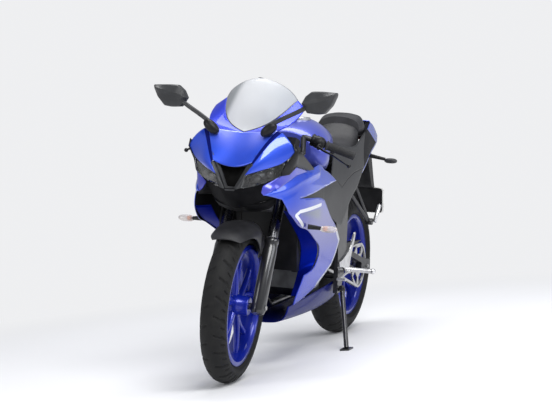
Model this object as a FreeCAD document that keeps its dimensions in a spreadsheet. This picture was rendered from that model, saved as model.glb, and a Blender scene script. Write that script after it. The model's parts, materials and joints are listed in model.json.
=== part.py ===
import FreeCAD, Part
import Sketcher
import math
import os

V = FreeCAD.Vector
Turn = FreeCAD.Rotation
Place = FreeCAD.Placement
doc = FreeCAD.newDocument("SportBike")

# Driving dimensions in millimetres and degrees
SIZES = {
    "wheelbase": 1325,
    "front_axle_x": 662.5,
    "front_tyre_radius": 296,
    "rear_tyre_radius": 314,
    "front_tyre_width": 100,
    "rear_tyre_width": 140,
    "widest_radius": 250,
    "bead_radius": 216,
    "rim_flange_radius": 228,
    "rim_flange_thickness": 4.5,
    "tyre_fit": 0.3,
    "front_bead_width": 74,
    "rear_bead_width": 104,
    "rake_angle": 25.5,
    "fork_offset": 48,
    "fork_span": 190,
    "fork_tube_diameter": 41,
    "fork_lower_diameter": 55,
    "fork_lower_length": 300,
    "head_low": 838,
    "head_length": 112,
    "stem_diameter": 30,
    "clamp_thickness": 30,
    "steer_angle": 5,
    "lean_angle": 8,
    "front_axle_diameter": 15,
    "rear_axle_diameter": 15,
    "front_disc_radius": 141,
    "rear_disc_radius": 110,
    "disc_thickness": 4.5,
    "disc_side": 62,
    "rear_disc_side": 84,
    "chain_side": 86,
    "chain_pitch": 12.7,
    "rear_teeth": 48,
    "front_teeth": 14,
    "roller_diameter": 8.5,
    "panel_wall": 3,
    "screen_wall": 3,
    "lens_wall": 2.5,
    "running_gap": 0.4,
    "boss_radius": 8,
    "boss_search": 220,
    "swingarm_inner": 102,
    "swingarm_wall": 26,
    "pivot_x": -215,
    "pivot_z": 375,
    "pivot_diameter": 20,
    "stand_diameter": 20,
    "grip_diameter": 33,
    "bar_diameter": 22,
    "peg_diameter": 20,
    "tank_wall": 4,
    "lid_radius": 50,
    "lift_hole_diameter": 16,
    "lift_hole_depth": 40,
    "spool_hole_diameter": 8,
    "spool_hole_depth": 20,
    "plan_shift_x": 34,
    "plan_shift_y": -132,
}
sheet = doc.addObject("Spreadsheet::Sheet", "Sizes")
for row, (alias, value) in enumerate(SIZES.items(), start=1):
    sheet.set("A%d" % row, alias.replace("_", " "))
    sheet.set("B%d" % row, str(value))
    sheet.setAlias("B%d" % row, alias)
doc.recompute()


def size(alias):
    """Value of one named cell of the sheet."""
    return float(sheet.get(alias))


WALL = size("panel_wall")
FIT = size("running_gap")

nodes = {}
unplaced = {}


def keep(name, source, place):
    """Make an object the node called name and put it at its place."""
    source.Label = name
    source.Placement = place
    nodes[name] = source
    return source


def keep_shape(name, shape, place):
    """Make the node called name from a shape."""
    unplaced[name] = shape
    feature = doc.addObject("Part::Feature", name)
    feature.Shape = shape
    return keep(name, feature, place.multiply(shape.Placement))


def mirrored(shape):
    """The same shape on the right of the bike."""
    return shape.mirror(V(0, 0, 0), V(0, 1, 0))


def both_sides(shape):
    """A left shape and its mirror image as one compound of two solids."""
    return Part.makeCompound(solids_of(shape) + solids_of(mirrored(shape)))


def solids_of(shape):
    """The solids in a shape."""
    return list(shape.Solids)


def fused(shapes):
    """One shape from several that touch or overlap."""
    shape = shapes[0].fuse(shapes[1:])
    return shape.removeSplitter()


def rod(start, end, radius):
    """Round bar from one point to another."""
    along = end - start
    return Part.makeCylinder(radius, along.Length, start, along)


def boss_to(start, way, radius, target):
    """Round boss from a start point, up to a running gap short of the node called target."""
    unit = V(way).normalize()
    probe = rod(start, start + unit * size("boss_search"), radius)
    met = probe.common(unplaced[target])
    reach = min((vertex - start).dot(unit) for vertex in met.tessellate(0.005)[0])
    return rod(start, start + unit * (reach - FIT), radius)


def bar_path(points, radius):
    """Round bar along straight runs, with a ball at each corner."""
    pieces = []
    for start, end in zip(points, points[1:]):
        pieces.append(rod(start, end, radius))
    for corner in points[1:-1]:
        pieces.append(Part.makeSphere(radius, corner))
    return fused(pieces) if len(pieces) > 1 else pieces[0]


def bent_tube(points, radius, bend):
    """Round tube whose straight runs are joined by tangent arcs of one bend radius."""
    edges = []
    last = points[0]
    for before, corner, after in zip(points, points[1:], points[2:]):
        entry = (before - corner).normalize()
        leave = (after - corner).normalize()
        half = entry.getAngle(leave) / 2.0
        setback = bend / math.tan(half)
        first = corner + entry * setback
        second = corner + leave * setback
        middle_way = (entry + leave).normalize()
        middle = corner + middle_way * (bend / math.sin(half) - bend)
        edges.append(Part.LineSegment(last, first).toShape())
        edges.append(Part.Arc(first, middle, second).toShape())
        last = second
    edges.append(Part.LineSegment(last, points[-1]).toShape())
    path = Part.Wire(edges)
    section = Part.Wire(Part.makeCircle(radius, points[0], points[1] - points[0]))
    return path.makePipeShell([section], True, False)


def prism_y(outline, low, high):
    """Plate across the bike, from an outline of (x, z) points, between two y values."""
    wire = Part.makePolygon([V(x, low, z) for x, z in outline + outline[:1]])
    return Part.Face(wire).extrude(V(0, high - low, 0))


def prism_z(outline, low, high):
    """Flat plate from an outline of (x, y) points, between two heights."""
    wire = Part.makePolygon([V(x, y, low) for x, y in outline + outline[:1]])
    return Part.Face(wire).extrude(V(0, 0, high - low))


def patch_face(poles):
    """Smooth face drawn by a net of poles."""
    rows = len(poles)
    columns = len(poles[0])
    u_degree = min(3, rows - 1)
    v_degree = min(3, columns - 1)
    u_knots = list(range(rows - u_degree + 1))
    v_knots = list(range(columns - v_degree + 1))
    u_mults = [u_degree + 1] + [1] * (len(u_knots) - 2) + [u_degree + 1]
    v_mults = [v_degree + 1] + [1] * (len(v_knots) - 2) + [v_degree + 1]
    surface = Part.BSplineSurface()
    surface.buildFromPolesMultsKnots(
        poles, u_mults, v_mults, u_knots, v_knots, False, False, u_degree, v_degree)
    return surface.toShape()


def moved_net(poles, inward, depth):
    """The net moved by a depth along the direction that inward gives at each pole."""
    return [[pole + inward(pole) * depth for pole in row] for row in poles]


def panel(poles, inward, start, end):
    """Panel between two copies of a net, at two depths behind its outer face."""
    outer = patch_face(moved_net(poles, inward, start))
    inner = patch_face(moved_net(poles, inward, end))
    sides = [Part.makeRuledSurface(a, b) for a, b in zip(outer.Edges, inner.Edges)]
    shell = Part.makeShell([outer, inner] + sides)
    shell.sewShape()
    solid = Part.makeSolid(shell)
    if solid.Volume < 0:
        solid.reverse()
    return solid


def moulding(panels):
    """One solid from panels that meet edge to edge; faces that two of them share are left out."""
    faces = [face for piece in panels for face in piece.Faces]
    kept = []
    for face in faces:
        twins = [other for other in faces
                 if (other.CenterOfMass - face.CenterOfMass).Length < 0.01
                 and abs(other.Area - face.Area) < 0.001 * face.Area]
        if len(twins) == 1:
            kept.append(face)
    shell = Part.makeShell(kept)
    shell.sewShape()
    solid = Part.makeSolid(shell)
    if solid.Volume < 0:
        solid.reverse()
    return solid


def toward(core):
    """Direction field that points at one core point."""
    return lambda point: (core - point).normalize()


def along(direction):
    """Direction field with one direction everywhere."""
    unit = V(direction).normalize()
    return lambda point: unit


def points(*triples):
    """Points from coordinate triples."""
    return [V(*triple) for triple in triples]


def even(line, count):
    """Points spread along a line through the given points, as many as asked for."""
    lengths = [0.0]
    for start, end in zip(line, line[1:]):
        lengths.append(lengths[-1] + (end - start).Length)
    result = []
    for index in range(count):
        target = lengths[-1] * index / (count - 1)
        for number in range(len(line) - 1):
            if target <= lengths[number + 1] + 1e-9:
                share = (target - lengths[number]) / (lengths[number + 1] - lengths[number])
                result.append(line[number] + (line[number + 1] - line[number]) * share)
                break
    return result


def filled_net(first, last, left, right, bulge):
    """Net between four edges, raised in its middle by the bulge vector.

    first and last run from the left edge to the right edge; left and right run from first to last.
    """
    net = []
    rows = len(left)
    columns = len(first)
    for i in range(rows):
        u = i / (rows - 1)
        row = []
        for j in range(columns):
            v = j / (columns - 1)
            across = left[i] * (1 - v) + right[i] * v
            down = first[j] * (1 - u) + last[j] * u
            corners = (first[0] * ((1 - u) * (1 - v)) + first[-1] * ((1 - u) * v)
                       + last[0] * (u * (1 - v)) + last[-1] * (u * v))
            crown = 16 * u * (1 - u) * v * (1 - v)
            row.append(across + down - corners + bulge * crown)
        net.append(row)
    return net


def inset_net(net, share):
    """The net drawn in from its edges by a share of its span."""
    rows = len(net)
    columns = len(net[0])

    def blend(u, v):
        i = min(int(u), rows - 2)
        j = min(int(v), columns - 2)
        a = u - i
        b = v - j
        return (net[i][j] * ((1 - a) * (1 - b)) + net[i + 1][j] * (a * (1 - b))
                + net[i][j + 1] * ((1 - a) * b) + net[i + 1][j + 1] * (a * b))

    result = []
    for i in range(rows):
        u = (share + (1 - 2 * share) * i / (rows - 1)) * (rows - 1)
        row = []
        for j in range(columns):
            v = (share + (1 - 2 * share) * j / (columns - 1)) * (columns - 1)
            row.append(blend(u, v))
        result.append(row)
    return result


def hollow_stations(stations, wall):
    """Stations of the room inside a body, a wall away from its sections."""
    inner = []
    for number, (place_x, half) in enumerate(stations):
        middle = sum(z for y, z in half) / len(half)
        room = []
        for y, z in half:
            reach = math.hypot(y, z - middle)
            share = (reach - wall) / reach
            room.append((y * share, middle + (z - middle) * share))
        if number == 0:
            place_x -= 3 * wall
        if number == len(stations) - 1:
            place_x += 3 * wall
        inner.append((place_x, room))
    return inner


def closed_section(place_x, half):
    """Closed smooth wire across the bike, from its left half given as (y, z) points."""
    left = [V(place_x, y, z) for y, z in half]
    right = [V(place_x, -y, z) for y, z in reversed(half[1:-1])]
    curve = Part.BSplineCurve()
    curve.interpolate(left + right, PeriodicFlag=True)
    return Part.Wire(curve.toShape())


def body_of_sections(stations):
    """Solid through closed sections, each an x value with its left half."""
    wires = [closed_section(place_x, half) for place_x, half in stations]
    return Part.makeLoft(wires, True, False)


def sketched_ring(name, cells):
    """Body turned about the Y axis from a closed outline.

    Each cell is a pair of expressions for radius and side, and an optional third expression: the
    radius of the arc that leaves that corner.
    """
    body = doc.addObject("PartDesign::Body", name + "_body")
    plane = [item for item in body.Origin.OriginFeatures if item.Role == "XY_Plane"][0]
    sketch = body.newObject("Sketcher::SketchObject", name + "_sketch")
    sketch.AttachmentSupport = [(plane, "")]
    sketch.MapMode = "FlatFace"
    values = [(evaluate(cell[0]), evaluate(cell[1])) for cell in cells]
    count = len(cells)
    ends = []
    for index in range(count):
        start = V(values[index][0], values[index][1], 0)
        end = V(values[(index + 1) % count][0], values[(index + 1) % count][1], 0)
        if len(cells[index]) > 2:
            arc_radius = evaluate(cells[index][2])
            half = (end - start).Length / 2.0
            rise = arc_radius - math.sqrt(max(arc_radius ** 2 - half ** 2, 0.0))
            crown = (start + end) * 0.5 + V(rise, 0, 0)
            number = sketch.addGeometry(Part.Arc(start, crown, end), False)
            swapped = (sketch.getPoint(number, 1) - start).Length > 1e-6
            ends.append((2, 1) if swapped else (1, 2))
            limit = sketch.addConstraint(Sketcher.Constraint("Radius", number, arc_radius))
            sketch.setExpression("Constraints[%d]" % limit, cells[index][2])
        else:
            sketch.addGeometry(Part.LineSegment(start, end), False)
            ends.append((1, 2))
    for index in range(count):
        after = (index + 1) % count
        sketch.addConstraint(Sketcher.Constraint(
            "Coincident", index, ends[index][1], after, ends[after][0]))
    for index in range(count):
        for kind, part in (("DistanceX", 0), ("DistanceY", 1)):
            limit = sketch.addConstraint(Sketcher.Constraint(
                kind, -1, 1, index, ends[index][0], values[index][part]))
            sketch.setExpression("Constraints[%d]" % limit, cells[index][part])
    doc.recompute()
    ring = body.newObject("PartDesign::Revolution", name + "_ring")
    ring.Profile = sketch
    ring.ReferenceAxis = (sketch, ["V_Axis"])
    ring.Angle = 360
    body.Tip = ring
    doc.recompute()
    return body


def evaluate(expression):
    """Number that a sheet expression gives now."""
    return float(sheet.evalExpression(expression))


# Frames: the bike upright on the ground, leaned on its stand, and the raked steering axis
rake = math.radians(size("rake_angle"))
AXIS = V(-math.sin(rake), 0, math.cos(rake))
AHEAD = V(math.cos(rake), 0, math.sin(rake))
FRONT_AXLE = V(size("front_axle_x"), 0, size("front_tyre_radius"))
REAR_AXLE = V(size("front_axle_x") - size("wheelbase"), 0, size("rear_tyre_radius"))
AXLE_UP = (size("front_tyre_radius") - size("fork_offset") * math.sin(rake)) / math.cos(rake)
HEAD_FOOT = FRONT_AXLE - AHEAD * size("fork_offset") - AXIS * AXLE_UP
RAKED = Place(HEAD_FOOT, Turn(V(0, 1, 0), -size("rake_angle")))
STEERED = Place(V(), Turn(V(0, 0, 1), size("steer_angle")))


def crown_radius(width, tyre_radius):
    """Radius of the tyre's round crown."""
    rise = tyre_radius - size("widest_radius")
    return (width ** 2 / 4 + rise ** 2) / (2 * rise)


def lowest(centre, axle, tyre_radius, crown):
    """Lowest height of a tyre with a round crown."""
    return centre.z - (tyre_radius - crown) * math.sqrt(1 - axle.z ** 2) - crown


def standing(pitch, lift):
    """Place of the upright bike's frame once it leans on its stand."""
    turn = Turn(V(0, 1, 0), pitch).multiply(Turn(V(1, 0, 0), -size("lean_angle")))
    return Place(V(0, 0, lift), turn)


def front_wheel_place(chassis):
    """Place of the front wheel's axle for one place of the chassis."""
    hub = Place(V(size("fork_offset"), 0, AXLE_UP), Turn(V(0, 1, 0), size("rake_angle")))
    return chassis.multiply(RAKED).multiply(STEERED).multiply(hub)


def tyre_heights(chassis):
    """Lowest heights of the front and the rear tyre for one place of the chassis."""
    front = front_wheel_place(chassis)
    rear = chassis.multiply(Place(REAR_AXLE, Turn()))
    heights = []
    for wheel, width, tyre_radius in (
            (front, "front_tyre_width", "front_tyre_radius"),
            (rear, "rear_tyre_width", "rear_tyre_radius")):
        crown = crown_radius(size(width), size(tyre_radius))
        axle = wheel.Rotation.multVec(V(0, 1, 0))
        heights.append(lowest(wheel.Base, axle, size(tyre_radius), crown))
    return heights


front_low, rear_low = tyre_heights(standing(0, 0))
PITCH = math.degrees(math.asin((front_low - rear_low) / size("wheelbase")))
CHASSIS = standing(PITCH, 0)
CHASSIS = standing(PITCH, -min(tyre_heights(CHASSIS)))
CHASSIS.Base = CHASSIS.Base + V(size("plan_shift_x"), size("plan_shift_y"), 0)
STEERING = CHASSIS.multiply(RAKED).multiply(STEERED)
FRONT_WHEEL = front_wheel_place(CHASSIS)
REAR_WHEEL = CHASSIS.multiply(Place(REAR_AXLE, Turn()))


def in_turned_bars(point):
    """A point of the upright bike as it stands with its bars turned, in the steering's own frame."""
    return RAKED.multiply(STEERED).inverse().multVec(point)


def wheel_tyre(name, width, tyre_radius, bead, place):
    """Tyre as a closed ring with a round crown, seated on its rim."""
    widest = "Sizes.widest_radius"
    rise = "(Sizes.%s - Sizes.widest_radius)" % tyre_radius
    crown = "((Sizes.%s / 2) ^ 2 + %s ^ 2) / (2 * %s)" % (width, rise, rise)
    low = "Sizes.bead_radius + Sizes.tyre_fit"
    lip = "Sizes.rim_flange_radius + 1"
    cells = [
        (low, "-Sizes.%s / 2" % bead),
        (lip, "-Sizes.%s / 2" % bead),
        (widest, "-Sizes.%s / 2" % width, crown),
        (widest, "Sizes.%s / 2" % width),
        (lip, "Sizes.%s / 2" % bead),
        (low, "Sizes.%s / 2" % bead),
    ]
    keep(name, sketched_ring(name, cells), place)


def wheel_rim(name, bead, hub_radius, hub_half, place):
    """Cast rim: barrel with two flanges, hub and five forked spokes."""
    half = size(bead) / 2
    flange = half + size("tyre_fit")
    outer = flange + size("rim_flange_thickness")
    bore = size("front_axle_diameter") / 2 + FIT
    seat = size("bead_radius")
    lip = size("rim_flange_radius")
    barrel = 9
    outline = [
        (seat, -flange), (lip, -flange), (lip, -outer), (seat - 6, -outer),
        (seat - barrel - 4, -outer + 16), (seat - barrel - 4, outer - 16),
        (seat - 6, outer), (lip, outer), (lip, flange), (seat, flange)]
    ring = turned(outline)
    hub = turned([(bore, -hub_half), (hub_radius, -hub_half), (hub_radius, hub_half), (bore, hub_half)])
    shapes = [ring, hub]
    reach = seat - barrel
    for number in range(5):
        arm = forked_spoke(hub_radius, reach)
        shapes.append(arm.rotate(V(), V(0, 1, 0), 72 * number))
    keep_shape(name, fused(shapes), place)


def turned(outline):
    """Ring about the Y axis from (radius, side) points."""
    wire = Part.makePolygon([V(radius, side, 0) for radius, side in outline + outline[:1]])
    return Part.Face(wire).revolve(V(0, 0, 0), V(0, 1, 0), 360)


def forked_spoke(hub_radius, reach):
    """One spoke that forks in two before it meets the barrel."""
    root = hub_radius - 6
    fork = 92
    spread = math.radians(15)
    left = (reach * math.sin(spread), reach * math.cos(spread))
    stem = [(-13, root), (13, root), (11, fork), (-11, fork)]
    pieces = [prism_y(stem, -14, 14)]
    for side in (-1, 1):
        top = (side * left[0], left[1])
        arm = [(side * -4, fork - 10), (side * 12, fork - 10),
               (top[0] + side * 9, top[1]), (top[0] - side * 9, top[1])]
        pieces.append(prism_y(arm, -11, 11))
    return fused(pieces)


def disc_with_holes(radius, inner, holes, side, carrier):
    """Brake disc with its drilled holes and the carrier arms on the hub."""
    half = size("disc_thickness") / 2
    plate = turned([(inner, side - half), (radius, side - half), (radius, side + half), (inner, side + half)])
    cutters = []
    for ring_radius, phase in ((inner + 6, 0.0), ((inner + radius) / 2, 0.5), (radius - 6, 0.0)):
        for number in range(holes):
            angle = 2 * math.pi * (number + phase) / holes
            centre = V(ring_radius * math.cos(angle), side - half - 1, ring_radius * math.sin(angle))
            cutters.append(Part.makeCylinder(2.8, 2 * half + 2, centre, V(0, 1, 0)))
    plate = plate.cut(Part.makeCompound(cutters))
    pieces = [plate]
    centre_ring = turned([(carrier - 12, side - half), (carrier, side - half),
                          (carrier, side + half), (carrier - 12, side + half)])
    pieces.append(centre_ring)
    for number in range(5):
        arm = prism_y([(-9, carrier - 4), (9, carrier - 4), (7, inner + 2), (-7, inner + 2)],
                      side - half, side + half)
        pieces.append(arm.rotate(V(), V(0, 1, 0), 72 * number + 36))
    return fused(pieces)


# Wheels
def make_wheels():
    """Front and rear wheel: tyres, rims, discs and the rear sprocket."""
    wheel_tyre("front_tyre", "front_tyre_width", "front_tyre_radius", "front_bead_width", FRONT_WHEEL)
    wheel_tyre("rear_tyre", "rear_tyre_width", "rear_tyre_radius", "rear_bead_width", REAR_WHEEL)
    disc_half = size("disc_thickness") / 2
    wheel_rim("front_rim", "front_bead_width", 40, size("disc_side") - disc_half, FRONT_WHEEL)
    wheel_rim("rear_rim", "rear_bead_width", 46, 76, REAR_WHEEL)
    front_disc = disc_with_holes(size("front_disc_radius"), 112, 20, -size("disc_side"), 38)
    keep_shape("front_disc", front_disc, FRONT_WHEEL)
    rear_disc = disc_with_holes(size("rear_disc_radius"), 86, 16, -size("rear_disc_side"), 44)
    spacer = turned([(20, -76), (44, -76), (44, -size("rear_disc_side") + disc_half),
                     (20, -size("rear_disc_side") + disc_half)])
    keep_shape("rear_disc", fused([rear_disc, spacer]), REAR_WHEEL)
    make_sprocket()


def sprocket_outline(teeth, tip, root):
    """Points of a toothed wheel's edge."""
    outline = []
    for tooth in range(teeth):
        for share, radius in ((0.0, root), (0.3, root), (0.48, tip), (0.82, tip)):
            angle = 2 * math.pi * (tooth + share) / teeth
            outline.append((radius * math.cos(angle), radius * math.sin(angle)))
    return outline


def pitch_radius(teeth):
    """Radius of the chain's pins round a sprocket."""
    return size("chain_pitch") / (2 * math.sin(math.pi / teeth))


def make_sprocket():
    """Rear sprocket with five arms on its hub ring, and the ring that carries it on the hub."""
    side = size("chain_side")
    radius = pitch_radius(size("rear_teeth"))
    outline = sprocket_outline(int(size("rear_teeth")), radius + 3.5, radius - 4.5)
    plate = prism_y(outline, side - 3.5, side + 3.5)
    windows = []
    for number in range(5):
        window = prism_y([(-26, 50), (26, 50), (36, 82), (-36, 82)], side - 4, side + 4)
        windows.append(window.rotate(V(), V(0, 1, 0), 72 * number))
    bore = Part.makeCylinder(20, 8, V(0, side - 4, 0), V(0, 1, 0))
    plate = plate.cut(Part.makeCompound(windows + [bore]))
    carrier = turned([(20, 76), (44, 76), (44, side - 3), (20, side - 3)])
    keep_shape("rear_sprocket", fused([plate, carrier]), REAR_WHEEL)


# Chassis
PIVOT = V(size("pivot_x"), 0, size("pivot_z"))
PLATE_INNER = size("swingarm_inner") + size("swingarm_wall") + 3
PLATE_WALL = 19
SPOOL = REAR_AXLE + V(50, 0, -4)
PLATE_OUTER = PLATE_INNER + PLATE_WALL

# Side stand: where it meets the ground, where it folds to, and the hinge square to both
STAND_PIVOT = V(-182, PLATE_OUTER + FIT + 14, 268)
STAND_PLAN = V(-70, 236, 0)
STAND_GROUND = CHASSIS.multVec(STAND_PLAN)
STAND_GROUND.z = 0
GROUND_UP = CHASSIS.Rotation.inverted().multVec(V(0, 0, 1))
STAND_FOOT = CHASSIS.inverse().multVec(STAND_GROUND) + GROUND_UP * 8
STAND_OUT = (STAND_FOOT - STAND_PIVOT).normalize()
STOWED = V(-266, 40, -8).normalize()
STAND_HINGE = STAND_OUT.cross(STOWED).normalize()
STAND_PIN = 6


def lofted_bar(quads):
    """Straight-sided bar through four-cornered sections."""
    wires = [Part.makePolygon(points(*quad) + points(quad[0])) for quad in quads]
    return Part.makeLoft(wires, True, True)


def box_section(place_x, y_low, y_high, z_low, z_high):
    """Four corners of an upright section at one x."""
    return [(place_x, y_low, z_low), (place_x, y_high, z_low),
            (place_x, y_high, z_high), (place_x, y_low, z_high)]


HEAD_MIDDLE = size("head_low") + size("head_length") / 2
SHOCK_TOP = V(-196, 0, 628)
CROSS_TUBE_RADIUS = 12


def make_frame():
    """Twin-spar frame: head tube, pivot plates, and the bosses that carry skins, tank and instruments."""
    head_low = HEAD_FOOT + AXIS * size("head_low")
    head_high = head_low + AXIS * size("head_length")
    head = rod(head_low, head_high, 31)
    shapes = [head]
    spar = lofted_bar([
        box_section(head_low.x + 4, 12, 40, head_low.z + 8, head_low.z + 78),
        box_section(250, 96, 122, 715, 780),
        box_section(60, PLATE_OUTER - 26, PLATE_OUTER, 630, 705),
        box_section(-150, PLATE_OUTER - 26, PLATE_OUTER, 530, 630)])
    plate = prism_y([(-140, 640), (-100, 560), (-140, 470), (-160, 330), (-160, 250), (-205, 250),
                     (-250, 335), (-265, 420), (-262, 600), (-270, 672), (-190, 676)], PLATE_INNER, PLATE_OUTER)
    for piece in (spar, plate):
        shapes.append(piece)
        shapes.append(mirrored(piece))
    half_span = V(0, PLATE_INNER + 4, 0)
    for middle in (SHOCK_TOP, V(-190, 0, 318)):
        shapes.append(rod(middle - half_span, middle + half_span, CROSS_TUBE_RADIUS))
    shapes.append(rod(STAND_PIVOT - STAND_HINGE * 24, STAND_PIVOT + STAND_HINGE * 11, STAND_PIN))
    bosses = [
        boss_to(V(-195, PLATE_INNER + 2, 290), V(0, -1, 0), size("boss_radius"), "belly_pan"),
        boss_to(V(-215, PLATE_OUTER - 2, 655), V(0, 1, 0), size("boss_radius"), "side_covers"),
        boss_to(V(20, PLATE_OUTER - 4, 655), V(0, 1, 0), size("boss_radius"), "side_covers"),
        boss_to(V(250, 110, 750), V(0, 1, 0), size("boss_radius"), "side_cowls"),
        boss_to(V(110, 130, 705), V(0, 0, 1), size("boss_radius"), "fuel_tank")]
    for boss in bosses:
        shapes.append(boss)
        shapes.append(mirrored(boss))
    stay_root = HEAD_FOOT + AXIS * HEAD_MIDDLE + AHEAD * 24
    stay_bend = HEAD_FOOT + AXIS * HEAD_MIDDLE + AHEAD * 150
    shapes.append(bar_path([stay_root, stay_bend, stay_bend + V(10, 0, 25)], size("boss_radius")))
    shapes.append(boss_to(stay_bend + V(10, 0, 22), V(0, 0, 1), size("boss_radius"), "instruments"))
    frame = fused(shapes)
    bore = rod(head_low - AXIS * 5, head_high + AXIS * 5, size("stem_diameter") / 2 + FIT)
    pivot = rod(PIVOT - V(0, 200, 0), PIVOT + V(0, 200, 0), size("pivot_diameter") / 2 + FIT)
    keep_shape("main_frame", frame.cut([bore, pivot]), CHASSIS)


def make_subframe():
    """Rails and stays with the bosses that carry the seats and the tail."""
    side = PLATE_INNER - 11 - FIT
    upper = bar_path(points((-228, side, 655), (-400, side - 14, 735), (-560, 94, 790), (-790, 74, 868)), 11)
    lower = bar_path(points((-240, side, 560), (-560, 94, 790)), 9)
    shapes = [upper, lower, mirrored(upper), mirrored(lower)]
    for x, y, z in ((-400, side - 14, 735), (-700, 82, 837)):
        shapes.append(rod(V(x, -y, z), V(x, y, z), 8))
    radius = size("boss_radius") - 1
    bosses = [
        boss_to(V(-620, 88, 806), V(0, 0, -1), radius, "rear_fender"),
        boss_to(V(-459, 86, 757), V(0, 0, 1), radius, "rider_seat"),
        boss_to(V(-700, 36, 837), V(0, 0, 1), radius, "pillion_seat")]
    for boss in bosses:
        shapes.append(boss)
        shapes.append(mirrored(boss))
    keep_shape("rear_subframe", fused(shapes), CHASSIS)


def make_engine():
    """Engine as one block: crankcase with its covers, inclined cylinder and head."""
    case = prism_y([(-60, 262), (60, 256), (150, 300), (150, 430), (70, 482), (-60, 495)], -100, 100)
    rear_case = prism_y([(-60, 262), (-150, 290), (-165, 400), (-150, 470), (-60, 495)], -92, 72)
    left_cover = Part.makeCylinder(66, 24, V(62, 100, 364), V(0, 1, 0))
    right_cover = Part.makeCylinder(68, 28, V(20, -128, 368), V(0, 1, 0))
    lean = math.radians(35)
    up = V(math.sin(lean), 0, math.cos(lean))
    ahead = V(math.cos(lean), 0, -math.sin(lean))
    base = V(40, 0, 440)
    levels = ((0, 66, 68), (120, 66, 68), (124, 74, 76), (215, 70, 74), (245, 44, 60))
    barrel = []
    for (low, deep, wide), (high, deeper, wider) in zip(levels, levels[1:]):
        wires = []
        for level, half_deep, half_wide in ((low, deep, wide), (high, deeper, wider)):
            centre = base + up * level
            corners = [centre + ahead * (a * half_deep) + V(0, b * half_wide, 0)
                       for a, b in ((-1, -1), (1, -1), (1, 1), (-1, 1))]
            wires.append(Part.makePolygon(corners + corners[:1]))
        barrel.append(Part.makeLoft(wires, True, True))
    drive = V(-125, 0, 395)
    side = size("chain_side")
    shaft = Part.makeCylinder(12, side - 60, drive + V(0, 62, 0), V(0, 1, 0))
    sprocket = Part.makeCylinder(pitch_radius(size("front_teeth")) - 7, 6, drive + V(0, side - 3, 0), V(0, 1, 0))
    reach = PLATE_INNER - FIT
    boss = rod(V(-152, -reach, 440), V(-152, reach, 440), 9)
    engine = fused([case, rear_case, left_cover, right_cover, shaft, sprocket, boss] + barrel)
    keep_shape("engine", engine, CHASSIS)


def make_cooling():
    """Radiator with its side tanks and hose stubs."""
    core = Part.makeBox(22, 210, 230, V(-11, -105, 0))
    shapes = [core]
    for side in (-1, 1):
        shapes.append(Part.makeBox(30, 22, 236, V(-15, side * 116 - 11, -3)))
    radiator = fused(shapes)
    radiator.rotate(V(), V(0, 1, 0), 8)
    radiator.translate(V(300, 0, 395))
    hanger = rod(V(331, 77, 616), V(306.5, 77, 733.3), 5)
    keep_shape("radiator", fused([radiator, hanger, mirrored(hanger)]), CHASSIS)


def make_exhaust():
    """Header pipe under the engine and the silencer on the right, welded into one exhaust."""
    start = V(-405, -205, 336)
    way = V(-335, -6, 128).normalize()
    route = points((220, -30, 565), (262, -32, 512), (246, -38, 280), (150, -44, 226),
                   (-268, -62, 226), (-345, -150, 268)) + [start + way * 40]
    header = bent_tube(route, 16, 36)
    cone = Part.makeCone(24, 54, 70, start, way)
    can = Part.makeCylinder(54, 250, start + way * 70, way)
    cap = Part.makeCone(54, 40, 26, start + way * 320, way)
    outlet = Part.makeCylinder(17, 60, start + way * 330, way)
    silencer = fused([cone, can, cap]).cut(outlet)
    keep_shape("exhaust", fused([header, silencer]), CHASSIS)


def make_swingarm():
    """Swingarm with its cross tube, pivot bosses and axle seats."""
    inner = size("swingarm_inner")
    outer = inner + size("swingarm_wall")
    axle = REAR_AXLE
    arm = prism_y([(PIVOT.x + 32, PIVOT.z - 26), (PIVOT.x + 32, PIVOT.z + 26), (PIVOT.x - 40, PIVOT.z + 42),
                   (PIVOT.x - 200, PIVOT.z + 30), (axle.x + 30, axle.z + 34), (axle.x - 55, axle.z + 26),
                   (axle.x - 58, axle.z - 22), (axle.x + 30, axle.z - 30), (PIVOT.x - 200, PIVOT.z - 52),
                   (PIVOT.x - 40, PIVOT.z - 38)], inner, outer)
    window = prism_y([(PIVOT.x - 190, PIVOT.z + 8), (axle.x + 80, axle.z + 22),
                      (axle.x + 80, axle.z - 14), (PIVOT.x - 190, PIVOT.z - 30)], inner - 1, outer + 1)
    arm = arm.cut(window)
    spacer = turned([(0, 77), (16, 77), (16, inner), (0, inner)])
    spacer.translate(axle)
    cross = Part.makeBox(54, 2 * inner + 20, 50, V(PIVOT.x - 84, -inner - 10, PIVOT.z - 28))
    swingarm = fused([arm, mirrored(arm), cross, spacer, mirrored(spacer)])
    bores = [rod(PIVOT - V(0, 200, 0), PIVOT + V(0, 200, 0), size("pivot_diameter") / 2 + FIT),
             rod(axle - V(0, 200, 0), axle + V(0, 200, 0), size("rear_axle_diameter") / 2 + FIT)]
    outside = V(SPOOL.x, outer, SPOOL.z)
    spool = rod(outside - V(0, size("spool_hole_depth"), 0), outside + V(0, 1, 0), size("spool_hole_diameter") / 2)
    keep_shape("swingarm", swingarm.cut(bores + [spool, mirrored(spool)]), CHASSIS)


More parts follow.
